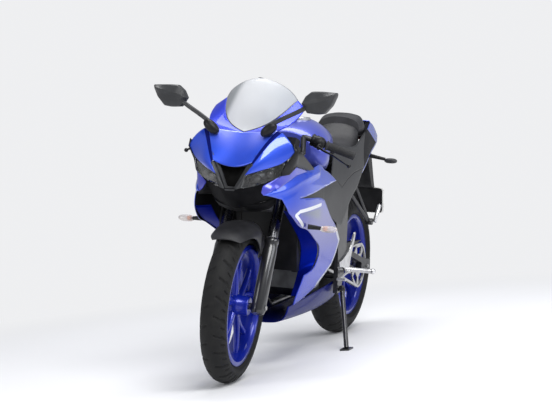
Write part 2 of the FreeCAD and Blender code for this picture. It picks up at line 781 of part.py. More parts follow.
def make_shafts():
    """Swingarm pivot shaft and the two wheel axles, each bound to the sheet."""
    pivot = doc.addObject("Part::Cylinder", "swingarm_pivot")
    pivot.setExpression("Radius", "Sizes.pivot_diameter / 2")
    pivot.Height = 2 * PLATE_OUTER
    lay = Turn(V(1, 0, 0), -90)
    keep("swingarm_pivot", pivot, CHASSIS.multiply(Place(PIVOT - V(0, PLATE_OUTER, 0), lay)))
    half = size("swingarm_inner") + size("swingarm_wall") + 8
    rear = doc.addObject("Part::Cylinder", "rear_axle")
    rear.setExpression("Radius", "Sizes.rear_axle_diameter / 2")
    rear.Height = 2 * half
    keep("rear_axle", rear, REAR_WHEEL.multiply(Place(V(0, -half, 0), lay)))
    front_half = size("fork_span") / 2 + size("fork_lower_diameter") / 2 + 4
    front = doc.addObject("Part::Cylinder", "front_axle")
    front.setExpression("Radius", "Sizes.front_axle_diameter / 2")
    front.Height = 2 * front_half
    keep("front_axle", front, FRONT_WHEEL.multiply(Place(V(0, -front_half, 0), lay)))


def make_shock():
    """Rear damper with its spring between the frame's cross tube and the swingarm."""
    foot = V(PIVOT.x - 57, 0, PIVOT.z + 22 + FIT + 3.2)
    way = (SHOCK_TOP - foot).normalize()
    reach = (SHOCK_TOP - foot).Length - CROSS_TUBE_RADIUS - FIT
    shapes = [rod(foot, foot + way * reach, 11)]
    for level in (0.18, 0.9):
        centre = foot + way * (reach * level)
        shapes.append(rod(centre, centre + way * 8, 31))
    coils = 6
    for number in range(coils):
        level = 0.25 + 0.6 * number / (coils - 1)
        shapes.append(Part.makeTorus(19, 9, foot + way * (reach * level), way))
    keep_shape("rear_shock", fused(shapes), CHASSIS)


def racetrack(first, first_radius, second, second_radius, low, high):
    """Plate whose outline wraps two circles, the first in front, between two y values."""
    gap = first - second
    reach = math.hypot(gap.x, gap.z)
    base = math.atan2(gap.z, gap.x)
    turn = math.acos((first_radius - second_radius) / reach)
    up_first = base + turn
    low_first = base - turn

    def edge(centre, radius, angle):
        return V(centre.x + radius * math.cos(angle), low, centre.z + radius * math.sin(angle))

    a = edge(first, first_radius, up_first)
    b = edge(second, second_radius, up_first)
    c = edge(second, second_radius, low_first)
    d = edge(first, first_radius, low_first)
    back = edge(second, second_radius, base + math.pi)
    front = edge(first, first_radius, base)
    wire = Part.Wire([
        Part.LineSegment(a, b).toShape(), Part.Arc(b, back, c).toShape(),
        Part.LineSegment(c, d).toShape(), Part.Arc(d, front, a).toShape()])
    return Part.Face(wire).extrude(V(0, high - low, 0)), (a, b, c, d)


def make_chain():
    """Chain as two loops of side plates with rollers between them on the straight runs."""
    drive = V(-125, 0, 395)
    side = size("chain_side")
    small = pitch_radius(size("front_teeth"))
    large = pitch_radius(size("rear_teeth"))
    deep = 5.5
    shapes = []
    for low, high in ((side - 6.5, side - 4.2), (side + 4.2, side + 6.5)):
        outer, _ = racetrack(drive, small + deep, REAR_AXLE, large + deep, low, high)
        hole, _ = racetrack(drive, small - deep, REAR_AXLE, large - deep, low, high)
        shapes.append(outer.cut(hole))
    _, ends = racetrack(drive, small, REAR_AXLE, large, side - 4.2, side + 4.2)
    for start, end in ((ends[0], ends[1]), (ends[2], ends[3])):
        run = end - start
        count = int(run.Length / size("chain_pitch") / 3)
        for number in range(1, count):
            centre = start + run * (number / count)
            clear_rear = (V(centre.x, 0, centre.z) - V(REAR_AXLE.x, 0, REAR_AXLE.z)).Length
            if clear_rear < large + 12:
                continue
            shapes.append(Part.makeCylinder(size("roller_diameter") / 2, 8.4, centre, V(0, 1, 0)))
    keep_shape("chain", fused(shapes), CHASSIS)


def make_chain_guard():
    """Strip over the chain's upper run, with its flange beside the arm."""
    inner = size("swingarm_inner")
    top = prism_y([(-290, 438), (-640, 428), (-640, 431), (-290, 441)], inner - 26, inner - FIT)
    flange = prism_y([(-290, 400), (-420, 398), (-640, 429), (-290, 439)], inner - FIT - 3, inner - FIT)
    keep_shape("chain_guard", fused([top, flange]), CHASSIS)


# Outer skin
SIDE_X = (-130, 20, 170, 310, 430, 540, 640, 740)
SIDE_TABLE = (
    (230, (110, 116, 120, 120, 108, 96, 86, 80)),
    (300, (130, 136, 142, 146, 138, 124, 108, 92)),
    (370, (152, 159, 164, 166, 156, 142, 124, 100)),
    (450, (170, 177, 183, 187, 180, 163, 140, 110)),
    (530, (182, 190, 197, 204, 204, 190, 162, 120)),
    (595, (188, 197, 205, 213, 219, 212, 180, 130)),
    (650, (190, 199, 207, 216, 221, 216, 192, 138)),
    (700, (189, 199, 207, 216, 221, 215, 188, 132)),
    (750, (186, 197, 205, 214, 219, 211, 178, 124)),
    (800, (181, 193, 201, 210, 214, 203, 166, 112)),
    (850, (175, 187, 196, 204, 208, 190, 150, 100)),
)
side_face = patch_face([[V(x, y, z) for x, y in zip(SIDE_X, row)] for z, row in SIDE_TABLE])


def side_y(x, z):
    """Half width of the side cowls' outer face at one point of the side view."""
    probe = Part.makeLine(V(x, 0, z), V(x, 400, z))
    return probe.section(side_face).Vertexes[0].Point.y


def on_side(outline, depth=0.0):
    """Points of the side cowls' outer face over (x, z) points, moved in by a depth."""
    return [V(x, side_y(x, z) - depth, z) for x, z in outline]


COWL_TOP = [(712, 724), (620, 768), (520, 804), (437, 806), (330, 818), (270, 796), (200, 780),
            (84, 744)]
COWL_SLOT = [(314, 725), (553, 701), (430, 696), (330, 690), (268, 678)]
COWL_REAR = [(156, 608), (36, 553), (-64, 491), (-50, 430), (-25, 384), (112, 317), (240, 283), (340, 262)]
COWL_FRONT = [(350, 300), (339, 383), (241, 404), (217, 451), (250, 492), (335, 527), (450, 572), (540, 595),
              (621, 648), (655, 700)]


def make_side_cowls():
    """Side cowls cut from one smooth skin by their outline, each with its inner flank."""
    skin = side_face.extrude(V(0, -WALL, 0))
    outline = COWL_TOP + COWL_SLOT + COWL_REAR + COWL_FRONT
    cowl = skin.common(prism_y(outline, 20, 300))
    left = solids_of(cowl)[0]
    cowls = solids_of(both_sides(left)) + solids_of(both_sides(inner_flank()))
    keep_shape("side_cowls", Part.makeCompound(cowls), CHASSIS)


def inner_flank():
    """Left flank that turns in from the side cowl's front edge toward the radiator."""
    outer = on_side([(338, 300), (330, 376), (236, 398), (212, 452), (250, 498), (335, 532), (450, 578),
                     (536, 600), (612, 648)], WALL + FIT)
    inner = points((330, 112, 296), (300, 116, 345), (262, 118, 392), (262, 124, 440), (290, 134, 480),
                   (340, 142, 520), (420, 150, 560), (490, 152, 600), (560, 146, 650))
    count = 9
    net = filled_net(even(outer, count), even(inner, count),
                     even([outer[0], inner[0]], 4), even([outer[-1], inner[-1]], 4), V(-6, 0, 0))
    return panel(net, along(V(-1, -0.3, 0)), 0, WALL)


def make_belly_pan():
    """Belly pan below the engine, one moulding from left to right."""
    stations = (
        (350, ((110, 255), (106, 228), (92, 196), (44, 184))),
        (200, ((122, 272), (119, 236), (104, 192), (50, 180))),
        (20, ((125, 284), (122, 240), (107, 190), (50, 178))),
        (-140, ((125, 292), (121, 242), (106, 192), (50, 182))),
        (-258, ((122, 305), (118, 252), (104, 208), (50, 194))))
    net = []
    for x, half in stations:
        left = [V(x, y, z) for y, z in half]
        right = [V(x, -y, z) for y, z in reversed(half)]
        net.append(left + right)
    core_height = 330

    def inward(point):
        """Direction from a point of the pan to the line along its middle."""
        return (V(point.x, 0, core_height) - point).normalize()

    keep_shape("belly_pan", panel(net, inward, 0, WALL + 0.5), CHASSIS)


NOSE_CORE = toward(V(440, 0, 880))
HOOD_FRONT = points((729, 0, 815), (729, 26, 815), (731, 52, 822), (733, 77, 836))
HOOD_REAR = points((628, 0, 940), (628, 26, 940), (634, 74, 946), (644, 138, 952))
HOOD_MIDDLE = points((707, 0, 849), (684, 0, 881), (657, 0, 912))
LIP = points((733, 77, 836), (714, 91, 868), (692, 106, 900), (667, 123, 930), (644, 138, 952))
GROOVE = points((738, 82, 826), (720, 99, 858), (698, 116, 890), (670, 136, 922), (640, 156, 946))
SCREEN_LINE = points((628, 0, 940), (604, 64, 956), (548, 112, 1000), (500, 131, 1034), (456, 143, 1064))
WING_LINE = points((644, 138, 952), (600, 152, 974), (540, 163, 998), (500, 166, 1002), (450, 170, 1002))
BROW_EDGE = points((753, 58, 788), (728, 103, 804), (694, 143, 820), (655, 184, 838), (642, 213, 878))
BROW_REAR = points((640, 156, 946), (646, 180, 930), (648, 202, 904), (642, 213, 878))


def make_nose_cowl():
    """Blue nose: hood, wings beside the screen, groove and brow, as one moulding."""
    halves = []
    hood = [HOOD_FRONT]
    for centre, edge in zip(HOOD_MIDDLE, LIP[1:-1]):
        flat = V(centre.x, 26, centre.z)
        halfway = (flat + edge) * 0.5 + V(6, 4, 6)
        hood.append([centre, flat, halfway, edge])
    hood.append(HOOD_REAR)
    halves.append(panel(hood, NOSE_CORE, 0, WALL))
    wing_last = even([SCREEN_LINE[-1], WING_LINE[-1]], 4)
    wing = filled_net(HOOD_REAR, wing_last, SCREEN_LINE, WING_LINE, V(2, 6, 5))
    halves.append(panel(wing, NOSE_CORE, 0, WALL))
    groove = [[lip, low] for lip, low in zip(LIP, GROOVE)]
    halves.append(panel(groove, NOSE_CORE, 0, WALL))
    brow = [even([GROOVE[0], BROW_EDGE[0]], 4)]
    for top, low in zip(GROOVE[1:-1], BROW_EDGE[1:-1]):
        row = even([top, low], 4)
        brow.append([row[0], row[1] + V(8, 8, 2), row[2] + V(9, 9, 2), row[3]])
    brow.append(BROW_REAR)
    halves.append(panel(brow, NOSE_CORE, 0, WALL))
    halves.extend([mirrored(piece) for piece in halves])
    keep_shape("nose_cowl", moulding(halves), CHASSIS)


def make_windscreen():
    """Double-bubble screen that stands on the hood."""
    lift = V(0.5, 0, 0.9)
    base_left = [point + lift for point in SCREEN_LINE]
    base_right = [V(point.x, -point.y, point.z) for point in base_left]
    top_left = points((459, 143, 1069), (452, 134, 1098), (456, 104, 1124), (466, 58, 1139), (476, 0, 1142))
    top_right = [V(point.x, -point.y, point.z) for point in top_left]
    net = filled_net(base_left, top_right, base_right, top_left, V(26, 0, 30))
    keep_shape("windscreen", panel(net, toward(V(300, 0, 900)), 0, size("screen_wall")), CHASSIS)


LAMP_TOP = points((751, 57, 785), (725, 103, 802), (689, 145, 819), (655, 180, 835))
LAMP_LOW = points((748, 42, 738), (724, 76, 742), (700, 112, 756), (669, 166, 784))


def lamp_net():
    """Net of one lamp's lens."""
    left = even([LAMP_TOP[0], LAMP_LOW[0]], 4)
    right = even([LAMP_TOP[-1], LAMP_LOW[-1]], 4)
    return filled_net(LAMP_TOP, LAMP_LOW, left, right, V(5, 4, 0))


def make_headlamps():
    """Lens shells and the lamp buckets behind them with their projectors."""
    net = lamp_net()
    lens = panel(net, NOSE_CORE, 0, size("lens_wall"))
    keep_shape("headlamp_lenses", both_sides(lens), CHASSIS)
    start = size("lens_wall") + FIT
    bucket = panel(net, NOSE_CORE, start, 62)
    hollow = panel(inset_net(net, 0.09), NOSE_CORE, start - 1, 50)
    bucket = bucket.cut(hollow)
    shapes = [bucket]
    for x, y, z, reach in ((704, 86, 772, 17), (676, 128, 792, 15)):
        front = V(x, y, z)
        shapes.append(rod(front, front - V(42, 16, -4), reach))
    keep_shape("headlamp_buckets", both_sides(fused(shapes)), CHASSIS)


def intake_solid():
    """Dark V between the lamps, hollowed behind their inner edges."""
    net = []
    for share in (0.0, 0.34, 0.67, 1.0):
        half_width = 71.5 * (1 - share) + 20 * share
        height = 834 * (1 - share) + 731 * share
        sag = 18 * (1 - share)
        front = 728 * (1 - share) + 748 * share
        row = []
        for side in (1.0, 0.5, 0.0, -0.5, -1.0):
            back = 26 * (1 - side * side) * (1 - 0.5 * share)
            row.append(V(front - back - 8, half_width * side, height - sag * (1 - abs(side))))
        net.append(row)
    return panel(net, along(V(-1, 0, 0)), 4, 4 + WALL)


def chin_solids():
    """Black chin below the lamps, back to the side cowls."""
    core = toward(V(440, 0, 800))
    first = [point + V(-0.5, 0, -0.8) for point in LAMP_LOW]
    last = points((690, 24, 668), (676, 60, 672), (650, 100, 684), (612, 128, 706))
    net = filled_net(first, last, even([first[0], last[0]], 4), even([first[-1], last[-1]], 4), V())
    chin = panel(net, core, 0, WALL)
    rows = []
    for edge in even([first[0], last[0]], 4):
        rows.append([edge, V(edge.x + 4, edge.y / 2, edge.z - 4), V(edge.x + 4, -edge.y / 2, edge.z - 4),
                     V(edge.x, -edge.y, edge.z)])
    centre = panel(rows, core, 0, WALL)
    return [moulding([chin, centre, mirrored(chin)])]


def make_nose_trim():
    """Black trim: intake, chin, and the corner piece between each brow and side cowl."""
    top = points((640.6, 214, 876.8), (606, 217, 890), (575, 218, 896))
    low = points((600, 200, 832), (520, 214, 824), (440, 220, 812))
    trim = panel([top, low], along(V(0, -1, 0)), 0, WALL)
    pieces = [intake_solid()] + chin_solids() + solids_of(both_sides(trim))
    keep_shape("nose_trim", Part.makeCompound(pieces), CHASSIS)


def make_cluster():
    """Instruments with their hood and the stay that carries them."""
    case = Part.makeBox(34, 150, 78, V(-17, -75, -39))
    face = Part.makeBox(6, 130, 58, V(-21, -65, -29))
    case = case.cut(face)
    case.Placement = Place(V(470, 0, 985), Turn(V(0, 1, 0), -28))
    glass = Part.makeBox(3, 129, 57, V(-20.5, -64.5, -28.5))
    glass.Placement = case.Placement
    stay = Part.makeBox(148.6, 30, 8, V(470, -15, 935))
    keep_shape("instruments", Part.makeCompound([fused([case, stay]), glass]), CHASSIS)


def elliptic_ring(centre, half_x, half_z):
    """Closed smooth wire in a plane across Y."""
    curve = Part.BSplineCurve()
    ring = []
    for number in range(12):
        angle = 2 * math.pi * number / 12
        ring.append(centre + V(half_x * math.cos(angle), 0, half_z * math.sin(angle)))
    curve.interpolate(ring, PeriodicFlag=True)
    return Part.Wire(curve.toShape())


def make_mirrors():
    """Mirrors: pod on the hood, stalk and head; the glass is a flat slice of the head."""
    stations = ((640, 226, 1040, 9, 12), (636, 248, 1052, 20, 30), (634, 285, 1060, 26, 38),
                (642, 325, 1066, 26, 38), (656, 352, 1082, 18, 22), (662, 362, 1090, 7, 9))
    rings = [elliptic_ring(V(x, y, z), deep, high) for x, y, z, deep, high in stations]
    head = Part.makeLoft(rings, True, False)
    glass_back = 622
    head = head.cut(Part.makeBox(60, 200, 160, V(glass_back - 60, 200, 980)))
    glass = head.common(Part.makeBox(3, 200, 160, V(glass_back, 200, 980)))
    head = head.cut(Part.makeBox(3 + FIT, 200, 160, V(glass_back, 200, 980)))
    stalk = bar_path(points((668, 122, 966), (652, 190, 1012), (644, 236, 1040)), 7)
    pod = Part.makeSphere(1, V())
    stretch = FreeCAD.Matrix()
    stretch.scale(18, 34, 17)
    pod = pod.transformGeometry(stretch)
    pod.Placement = Place(V(668, 114, 965), Turn(V(1, 0, 0), 30))
    foot = boss_to(V(668, 114, 962), V(-0.35, -0.05, -1), size("boss_radius") + 3, "nose_cowl")
    keep_shape("mirrors", both_sides(fused([head, stalk, pod, foot])), CHASSIS)
    keep_shape("mirror_glasses", both_sides(glass), CHASSIS)


def make_indicators():
    """Stalks and lenses of the four turn indicators."""
    root_y = side_y(480, 590) + FIT
    stalk = rod(V(480, root_y + 4.3, 590), V(456, 262, 585), 8)
    lens_front = egg(V(450, 292, 583), 16, 34, 13)
    stalk = stalk.cut(egg(V(450, 292, 583), 16 + FIT, 34 + FIT, 13 + FIT))
    rear_stalk = rod(V(-872, 48.2, 803), V(-886, 128, 788), 7)
    lens_rear = egg(V(-892, 153, 782), 15, 30, 12)
    rear_stalk = rear_stalk.cut(egg(V(-892, 153, 782), 15 + FIT, 30 + FIT, 12 + FIT))
    keep_shape("indicator_stalks", both_sides(Part.makeCompound([stalk, rear_stalk])), CHASSIS)
    keep_shape("indicator_lenses", both_sides(Part.makeCompound([lens_front, lens_rear])), CHASSIS)


def egg(centre, half_x, half_y, half_z):
    """Ellipsoid with its axes along the frame."""
    ball = Part.makeSphere(1, V())
    stretch = FreeCAD.Matrix()
    stretch.scale(half_x, half_y, half_z)
    ball = ball.transformGeometry(stretch)
    ball.translate(centre)
    return ball


LID_CENTRE = V(10, 0, 986)
LID_DEPTH = 9
LID_HINGE = LID_CENTRE + V(size("lid_radius") + 9, 0, 7)
LID_PIN = 2.5
KNUCKLE = 7


def make_tank():
    """Fuel tank with the round seat of its lid and the lid's hinge ears."""
    stations = (
        (172, ((0, 812), (62, 812), (104, 828), (114, 862), (92, 905), (48, 925), (0, 930))),
        (120, ((0, 782), (80, 782), (148, 796), (166, 848), (132, 916), (70, 950), (0, 960))),
        (20, ((0, 770), (80, 770), (132, 784), (146, 838), (140, 912), (80, 966), (0, 984))),
        (-70, ((0, 768), (75, 768), (108, 784), (118, 836), (126, 900), (76, 958), (0, 984))),
        (-150, ((0, 772), (60, 772), (82, 790), (92, 836), (98, 890), (60, 936), (0, 952))),
        (-196, ((0, 796), (48, 796), (62, 808), (70, 838), (66, 872), (40, 892), (0, 900))))
    tank = body_of_sections(stations)
    well = Part.makeCylinder(size("lid_radius") + 2, 60, LID_CENTRE - V(0, 0, LID_DEPTH + FIT), V(0, 0, 1))
    room = body_of_sections(hollow_stations(stations, size("tank_wall")))
    neck = Part.makeCylinder(size("lid_radius") + 6, 40, LID_CENTRE - V(0, 0, LID_DEPTH + FIT + 4), V(0, 0, 1))
    tank = tank.cut([well, room.cut(neck)])
    ear = Part.makeBox(12, 5, 30, LID_HINGE + V(-6, KNUCKLE + FIT, -24))
    reach = V(0, KNUCKLE + FIT + 4, 0)
    pin = rod(LID_HINGE - reach, LID_HINGE + reach, LID_PIN)
    keep_shape("fuel_tank", fused([tank, ear, mirrored(ear), pin]), CHASSIS)


def make_lid():
    """Fuel lid with the arm that reaches its hinge in front."""
    disc = Part.makeCylinder(size("lid_radius"), LID_DEPTH, V(0, 0, -LID_DEPTH), V(0, 0, 1))
    rim = Part.makeCone(size("lid_radius"), size("lid_radius") - 3, 3, V(0, 0, 0), V(0, 0, 1))
    hinge = LID_HINGE - LID_CENTRE
    arm = Part.makeBox(hinge.x - 20, 2 * KNUCKLE, 7, V(20, -KNUCKLE, 2))
    side = V(0, KNUCKLE, 0)
    knuckle = rod(hinge - side, hinge + side, 6)
    lid = fused([disc, rim, arm, knuckle]).cut(rod(hinge - side * 2, hinge + side * 2, LID_PIN + FIT))
    lid.translate(LID_CENTRE)
    keep_shape("fuel_lid", lid, CHASSIS)


def make_seats():
    """Rider's seat and pillion seat."""
    rider = (
        (-200, ((0, 800), (44, 800), (68, 812), (74, 850), (64, 888), (36, 903), (0, 908))),
        (-262, ((0, 776), (66, 776), (98, 792), (108, 832), (94, 874), (50, 888), (0, 891))),
        (-350, ((0, 762), (76, 762), (116, 780), (126, 822), (110, 862), (56, 876), (0, 878))),
        (-450, ((0, 768), (68, 768), (106, 788), (116, 836), (102, 882), (54, 896), (0, 898))),
        (-535, ((0, 808), (54, 808), (84, 830), (98, 880), (88, 930), (46, 950), (0, 955))))
    keep_shape("rider_seat", body_of_sections(rider), CHASSIS)
    pillion = (
        (-540, ((0, 884), (48, 884), (82, 898), (96, 930), (86, 962), (44, 980), (0, 984))),
        (-600, ((0, 892), (50, 892), (88, 908), (102, 942), (84, 984), (42, 998), (0, 1001))),
        (-680, ((0, 896), (45, 896), (72, 912), (78, 942), (62, 974), (32, 987), (0, 989))),
        (-738, ((0, 906), (30, 906), (48, 918), (52, 936), (42, 954), (20, 962), (0, 964))))
    keep_shape("pillion_seat", body_of_sections(pillion), CHASSIS)


def make_side_covers():
    """Grey covers between the tank and the side cowls, down to a point."""
    face = patch_face([
        points((-560, 130, 500), (-330, 158, 500), (-120, 166, 500), (60, 176, 500), (240, 190, 500), (420, 196, 500)),
        points((-560, 132, 640), (-330, 160, 640), (-120, 168, 640), (60, 181, 640), (240, 196, 640), (420, 202, 640)),
        points((-560, 132, 720), (-330, 158, 720), (-120, 167, 720), (60, 180, 720), (240, 194, 720), (420, 200, 720)),
        points((-560, 134, 800), (-330, 150, 800), (-120, 156, 800), (60, 166, 800), (240, 182, 800), (420, 188, 800)),
        points((-560, 136, 870), (-330, 142, 870), (-120, 140, 870), (60, 150, 870), (240, 168, 870), (420, 174, 870)),
        points((-560, 136, 940), (-330, 138, 940), (-120, 132, 940), (60, 140, 940), (240, 156, 940), (420, 162, 940))])
    skin = face.extrude(V(0, -WALL, 0))
    outline = [(300, 722), (80, 748), (44, 790), (-40, 872), (-150, 874), (-260, 866), (-360, 870),
               (-440, 898), (-505, 922), (-492, 845), (-515, 768), (-380, 690), (-250, 640), (-119, 545),
               (-40, 560), (60, 590), (150, 622), (250, 684)]
    cover = skin.common(prism_y(outline, 60, 260))
    keep_shape("side_covers", both_sides(cover), CHASSIS)


def make_tail():
    """Tail: side blades, top cover and lamp; gives back the undertray."""
    top = points((-518, 124, 912), (-600, 116, 924), (-690, 100, 940), (-762, 82, 968), (-880, 70, 936),
                 (-985, 56, 892))
    low = points((-526, 126, 740), (-600, 120, 768), (-690, 106, 804), (-780, 94, 830), (-880, 80, 850),
                 (-978, 58, 864))
    field = along(V(0, -1, 0))
    net = filled_net(top, low, even([top[0], low[0]], 4), even([top[-1], low[-1]], 4), V(0, 8, 0))
    blade = panel(net, field, 0, WALL)
    rear_top = [point + V(0, -WALL - FIT, -2) for point in top[3:]]
    across = []
    for share in (1.0, 0.34, -0.34, -1.0):
        across.append([V(point.x, point.y * share, point.z + 4 * (1 - share * share)) for point in rear_top])
    cover = panel(across, along(V(0, 0, -1)), 0, WALL)
    keep_shape("tail_cowls", Part.makeCompound(solids_of(both_sides(blade)) + [cover]), CHASSIS)
    tray_edge = [point + V(0, -WALL - FIT - 1.6, -6) for point in low[1:]]
    tray = []
    for share in (1.0, 0.34, -0.34, -1.0):
        tray.append([V(point.x, point.y * share, point.z) for point in tray_edge])
    lamp = Part.makeBox(26, 92, 18, V(-982, -46, 870.3))
    keep_shape("tail_lamp", lamp, CHASSIS)
    return panel(tray, along(V(0, 0, 1)), 0, WALL)


PLATE_PLACE = Place(V(-1013, 0, 584), Turn(V(0, 1, 0), 8))


def make_plate(tray):
    """Rear fender: undertray, arm and plate holder; and the blank plate."""
    arm = prism_y([(-800, 831), (-900, 846), (-930, 820), (-1008, 660), (-1022, 640), (-1000, 636),
                   (-960, 660), (-880, 780)], -46, 46)
    holder = Part.makeBox(5, 176, 118, V(-2.5, -88, -59))
    holder.Placement = PLATE_PLACE
    plate = Part.makeBox(2, 190, 124, V(-5, -95, -62))
    plate.Placement = PLATE_PLACE
    keep_shape("rear_fender", fused([tray, arm, holder]).cut(plate), CHASSIS)
    keep_shape("blank_plate", plate, CHASSIS)


def make_footrests():
    """Rider's footrests with heel guards, and the pillion's."""
    low = PLATE_OUTER + FIT
    guard = prism_y([(-372, 492), (-352, 490), (-302, 432), (-216, 396), (-160, 384), (-166, 362),
                     (-236, 350), (-268, 322), (-302, 322), (-300, 352), (-322, 402), (-348, 444)], low, low + 7)
    peg = rod(V(-285, low + 4, 340), V(-300, 262, 338), size("peg_diameter") / 2)
    knob = Part.makeSphere(size("peg_diameter") / 2 + 2, V(-300, 262, 338))
    footrest = fused([guard, peg, knob])
    keep_shape("footrests", both_sides(footrest), CHASSIS)
    front = bar_path(points((-430, 122.8, 692), (-556, 156, 526)), 9)
    rear = bar_path(points((-370, 127.6, 652), (-556, 156, 526)), 9)
    boss = rod(V(-556, 146, 526), V(-556, 176, 526), 15)
    keep_shape("pillion_brackets", both_sides(fused([front, rear, boss])), CHASSIS)
    folded = rod(V(-556, 176 + FIT + 9, 526), V(-590, 196, 600), 9)
    keep_shape("pillion_pegs", both_sides(folded), CHASSIS)


def make_pedals():
    """Shift lever on the left and brake pedal on the right."""
    side = PLATE_OUTER + FIT + 7 + FIT
    pivot = V(-258, side, 336)
    shift = fused([rod(pivot, pivot + V(0, 16, 0), 9),
                   bar_path([pivot + V(0, 10, 0), V(-112, side + 10, 318)], 5),
                   rod(V(-112, side + 4, 318), V(-112, side + 42, 318), 6)])
    brake = fused([rod(V(-258, -side, 336), V(-258, -side - 16, 336), 9),
                   bar_path([V(-258, -side - 10, 336), V(-118, -side - 10, 300)], 5),
                   Part.makeBox(34, 26, 6, V(-136, -side - 24, 298))])
    keep_shape("foot_controls", Part.makeCompound([shift, brake]), CHASSIS)


def make_rear_caliper():
    """Rear caliper on the right arm, over the disc."""
    side = size("rear_disc_side")
    block = Part.makeBox(64, 17.5, 46, V(REAR_AXLE.x + 62, -101.5, REAR_AXLE.z + 30))
    inner = Part.makeBox(64, 8, 46, V(REAR_AXLE.x + 62, -80, REAR_AXLE.z + 30))
    bridge = Part.makeBox(20, 30, 46, V(REAR_AXLE.x + 112, -101.5, REAR_AXLE.z + 30))
    caliper = fused([block, inner, bridge])
    gap = Part.makeCylinder(size("rear_disc_radius") + 3, size("disc_thickness") + 2 * 0.8,
                            REAR_AXLE + V(0, -side - size("disc_thickness") / 2 - 0.8, 0), V(0, 1, 0))
    keep_shape("rear_caliper", caliper.cut(gap), CHASSIS)


# Steering, in the raked frame: Z along the head axis, X ahead, origin where the axis meets the ground
LEG = V(size("fork_offset"), size("fork_span") / 2, 0)
HEAD_TOP = size("head_low") + size("head_length")
TOP_CLAMP = HEAD_TOP + 6
LOW_CLAMP = size("head_low") - size("clamp_thickness") - 6
LOWER_FOOT = AXLE_UP - 26
LOWER_TOP = LOWER_FOOT + size("fork_lower_length")
TUBE_TOP = TOP_CLAMP + size("clamp_thickness") + 6


def up_tube(centre, low, high, radius):
    """Upright cylinder in the steering frame."""
    return Part.makeCylinder(radius, high - low, V(centre.x, centre.y, low), V(0, 0, 1))


def make_fork():
    """Fork tubes and the lower legs with their axle bosses and caliper lug."""
    tube_radius = size("fork_tube_diameter") / 2
    tube = up_tube(LEG, LOWER_TOP - 40, TUBE_TOP, tube_radius)
    keep_shape("fork_tubes", both_sides(tube), STEERING)
    lower_radius = size("fork_lower_diameter") / 2
    lower = up_tube(LEG, LOWER_FOOT, LOWER_TOP, lower_radius)
    boss_inner = size("disc_side") - size("disc_thickness") / 2 + FIT
    boss = Part.makeCylinder(13, LEG.y - boss_inner, V(LEG.x, boss_inner, AXLE_UP), V(0, 1, 0))
    left = fused([lower, boss])
    right_inner = size("disc_side") + size("disc_thickness") / 2 + FIT
    right_boss = Part.makeCylinder(13, LEG.y - right_inner, V(LEG.x, -LEG.y, AXLE_UP), V(0, 1, 0))
    lug = Part.makeBox(40, 14, 60, V(LEG.x - 56, -LEG.y, AXLE_UP + 20))
    right = fused([mirrored(lower), right_boss, lug])
    bore = rod(V(LEG.x, -200, AXLE_UP), V(LEG.x, 200, AXLE_UP), size("front_axle_diameter") / 2 + FIT)
    legs = []
    for leg, side in ((left, 1), (right, -1)):
        socket = up_tube(V(LEG.x, side * LEG.y, 0), LOWER_TOP - 44, LOWER_TOP + 1, tube_radius + FIT)
        legs.extend(solids_of(leg.cut([bore, socket])))
    keep_shape("fork_lowers", Part.makeCompound(legs), STEERING)


def clamp_plate(low, high):
    """Yoke plate round both fork tubes and the stem."""
    outer = LEG.y + 34
    back = -30
    outline = [(back, -28), (back, 28), (LEG.x - 26, outer - 8), (LEG.x + 4, outer), (LEG.x + 32, outer - 10),
               (LEG.x + 32, LEG.y - 22), (LEG.x - 2, 24), (LEG.x - 2, -24), (LEG.x + 32, -LEG.y + 22),
               (LEG.x + 32, -outer + 10), (LEG.x + 4, -outer), (LEG.x - 26, -outer + 8)]
    plate = prism_z(outline, low, high)
    bores = [up_tube(V(LEG.x, side * LEG.y, 0), low - 1, high + 1, size("fork_tube_diameter") / 2 + FIT)
             for side in (-1, 1)]
    return plate.cut(bores)


def make_clamps():
    """Lower yoke with its stem through the head tube, and the upper yoke."""
    stem_radius = size("stem_diameter") / 2
    thick = size("clamp_thickness")
    low = clamp_plate(LOW_CLAMP, LOW_CLAMP + thick)
    stem = up_tube(V(), LOW_CLAMP, TOP_CLAMP + thick - 6, stem_radius)
    high = clamp_plate(TOP_CLAMP, TOP_CLAMP + thick)
    bore = up_tube(V(), TOP_CLAMP - 1, TOP_CLAMP + thick + 1, stem_radius + FIT)
    lift_hole = up_tube(V(), LOW_CLAMP - 1, LOW_CLAMP + size("lift_hole_depth"), size("lift_hole_diameter") / 2)
    lower = fused([low, stem]).cut(lift_hole)
    keep_shape("fork_clamps", Part.makeCompound([lower, high.cut(bore)]), STEERING)


BAR_START = V(LEG.x, LEG.y, HEAD_TOP - 16)
BAR_RISE = BAR_START + V(-14, 50, 0)
BAR_END = in_turned_bars(V(255, 324, 854))
BAR_BEND = in_turned_bars(V(308, 127, 922))
BAR_WAY = (BAR_END - BAR_BEND).normalize()
LEVER_TIP = in_turned_bars(V(349, 330, 821))


def on_bar(distance_from_end):
    """Point of the left handlebar, measured back from its end."""
    return BAR_END - BAR_WAY * distance_from_end


def sleeve(start, end, radius):
    """Sleeve round the left handlebar between two distances from its end."""
    outer = rod(on_bar(end), on_bar(start), radius)
    bore = rod(on_bar(end + 5), on_bar(start - 5), size("bar_diameter") / 2 + FIT)
    return outer.cut(bore)


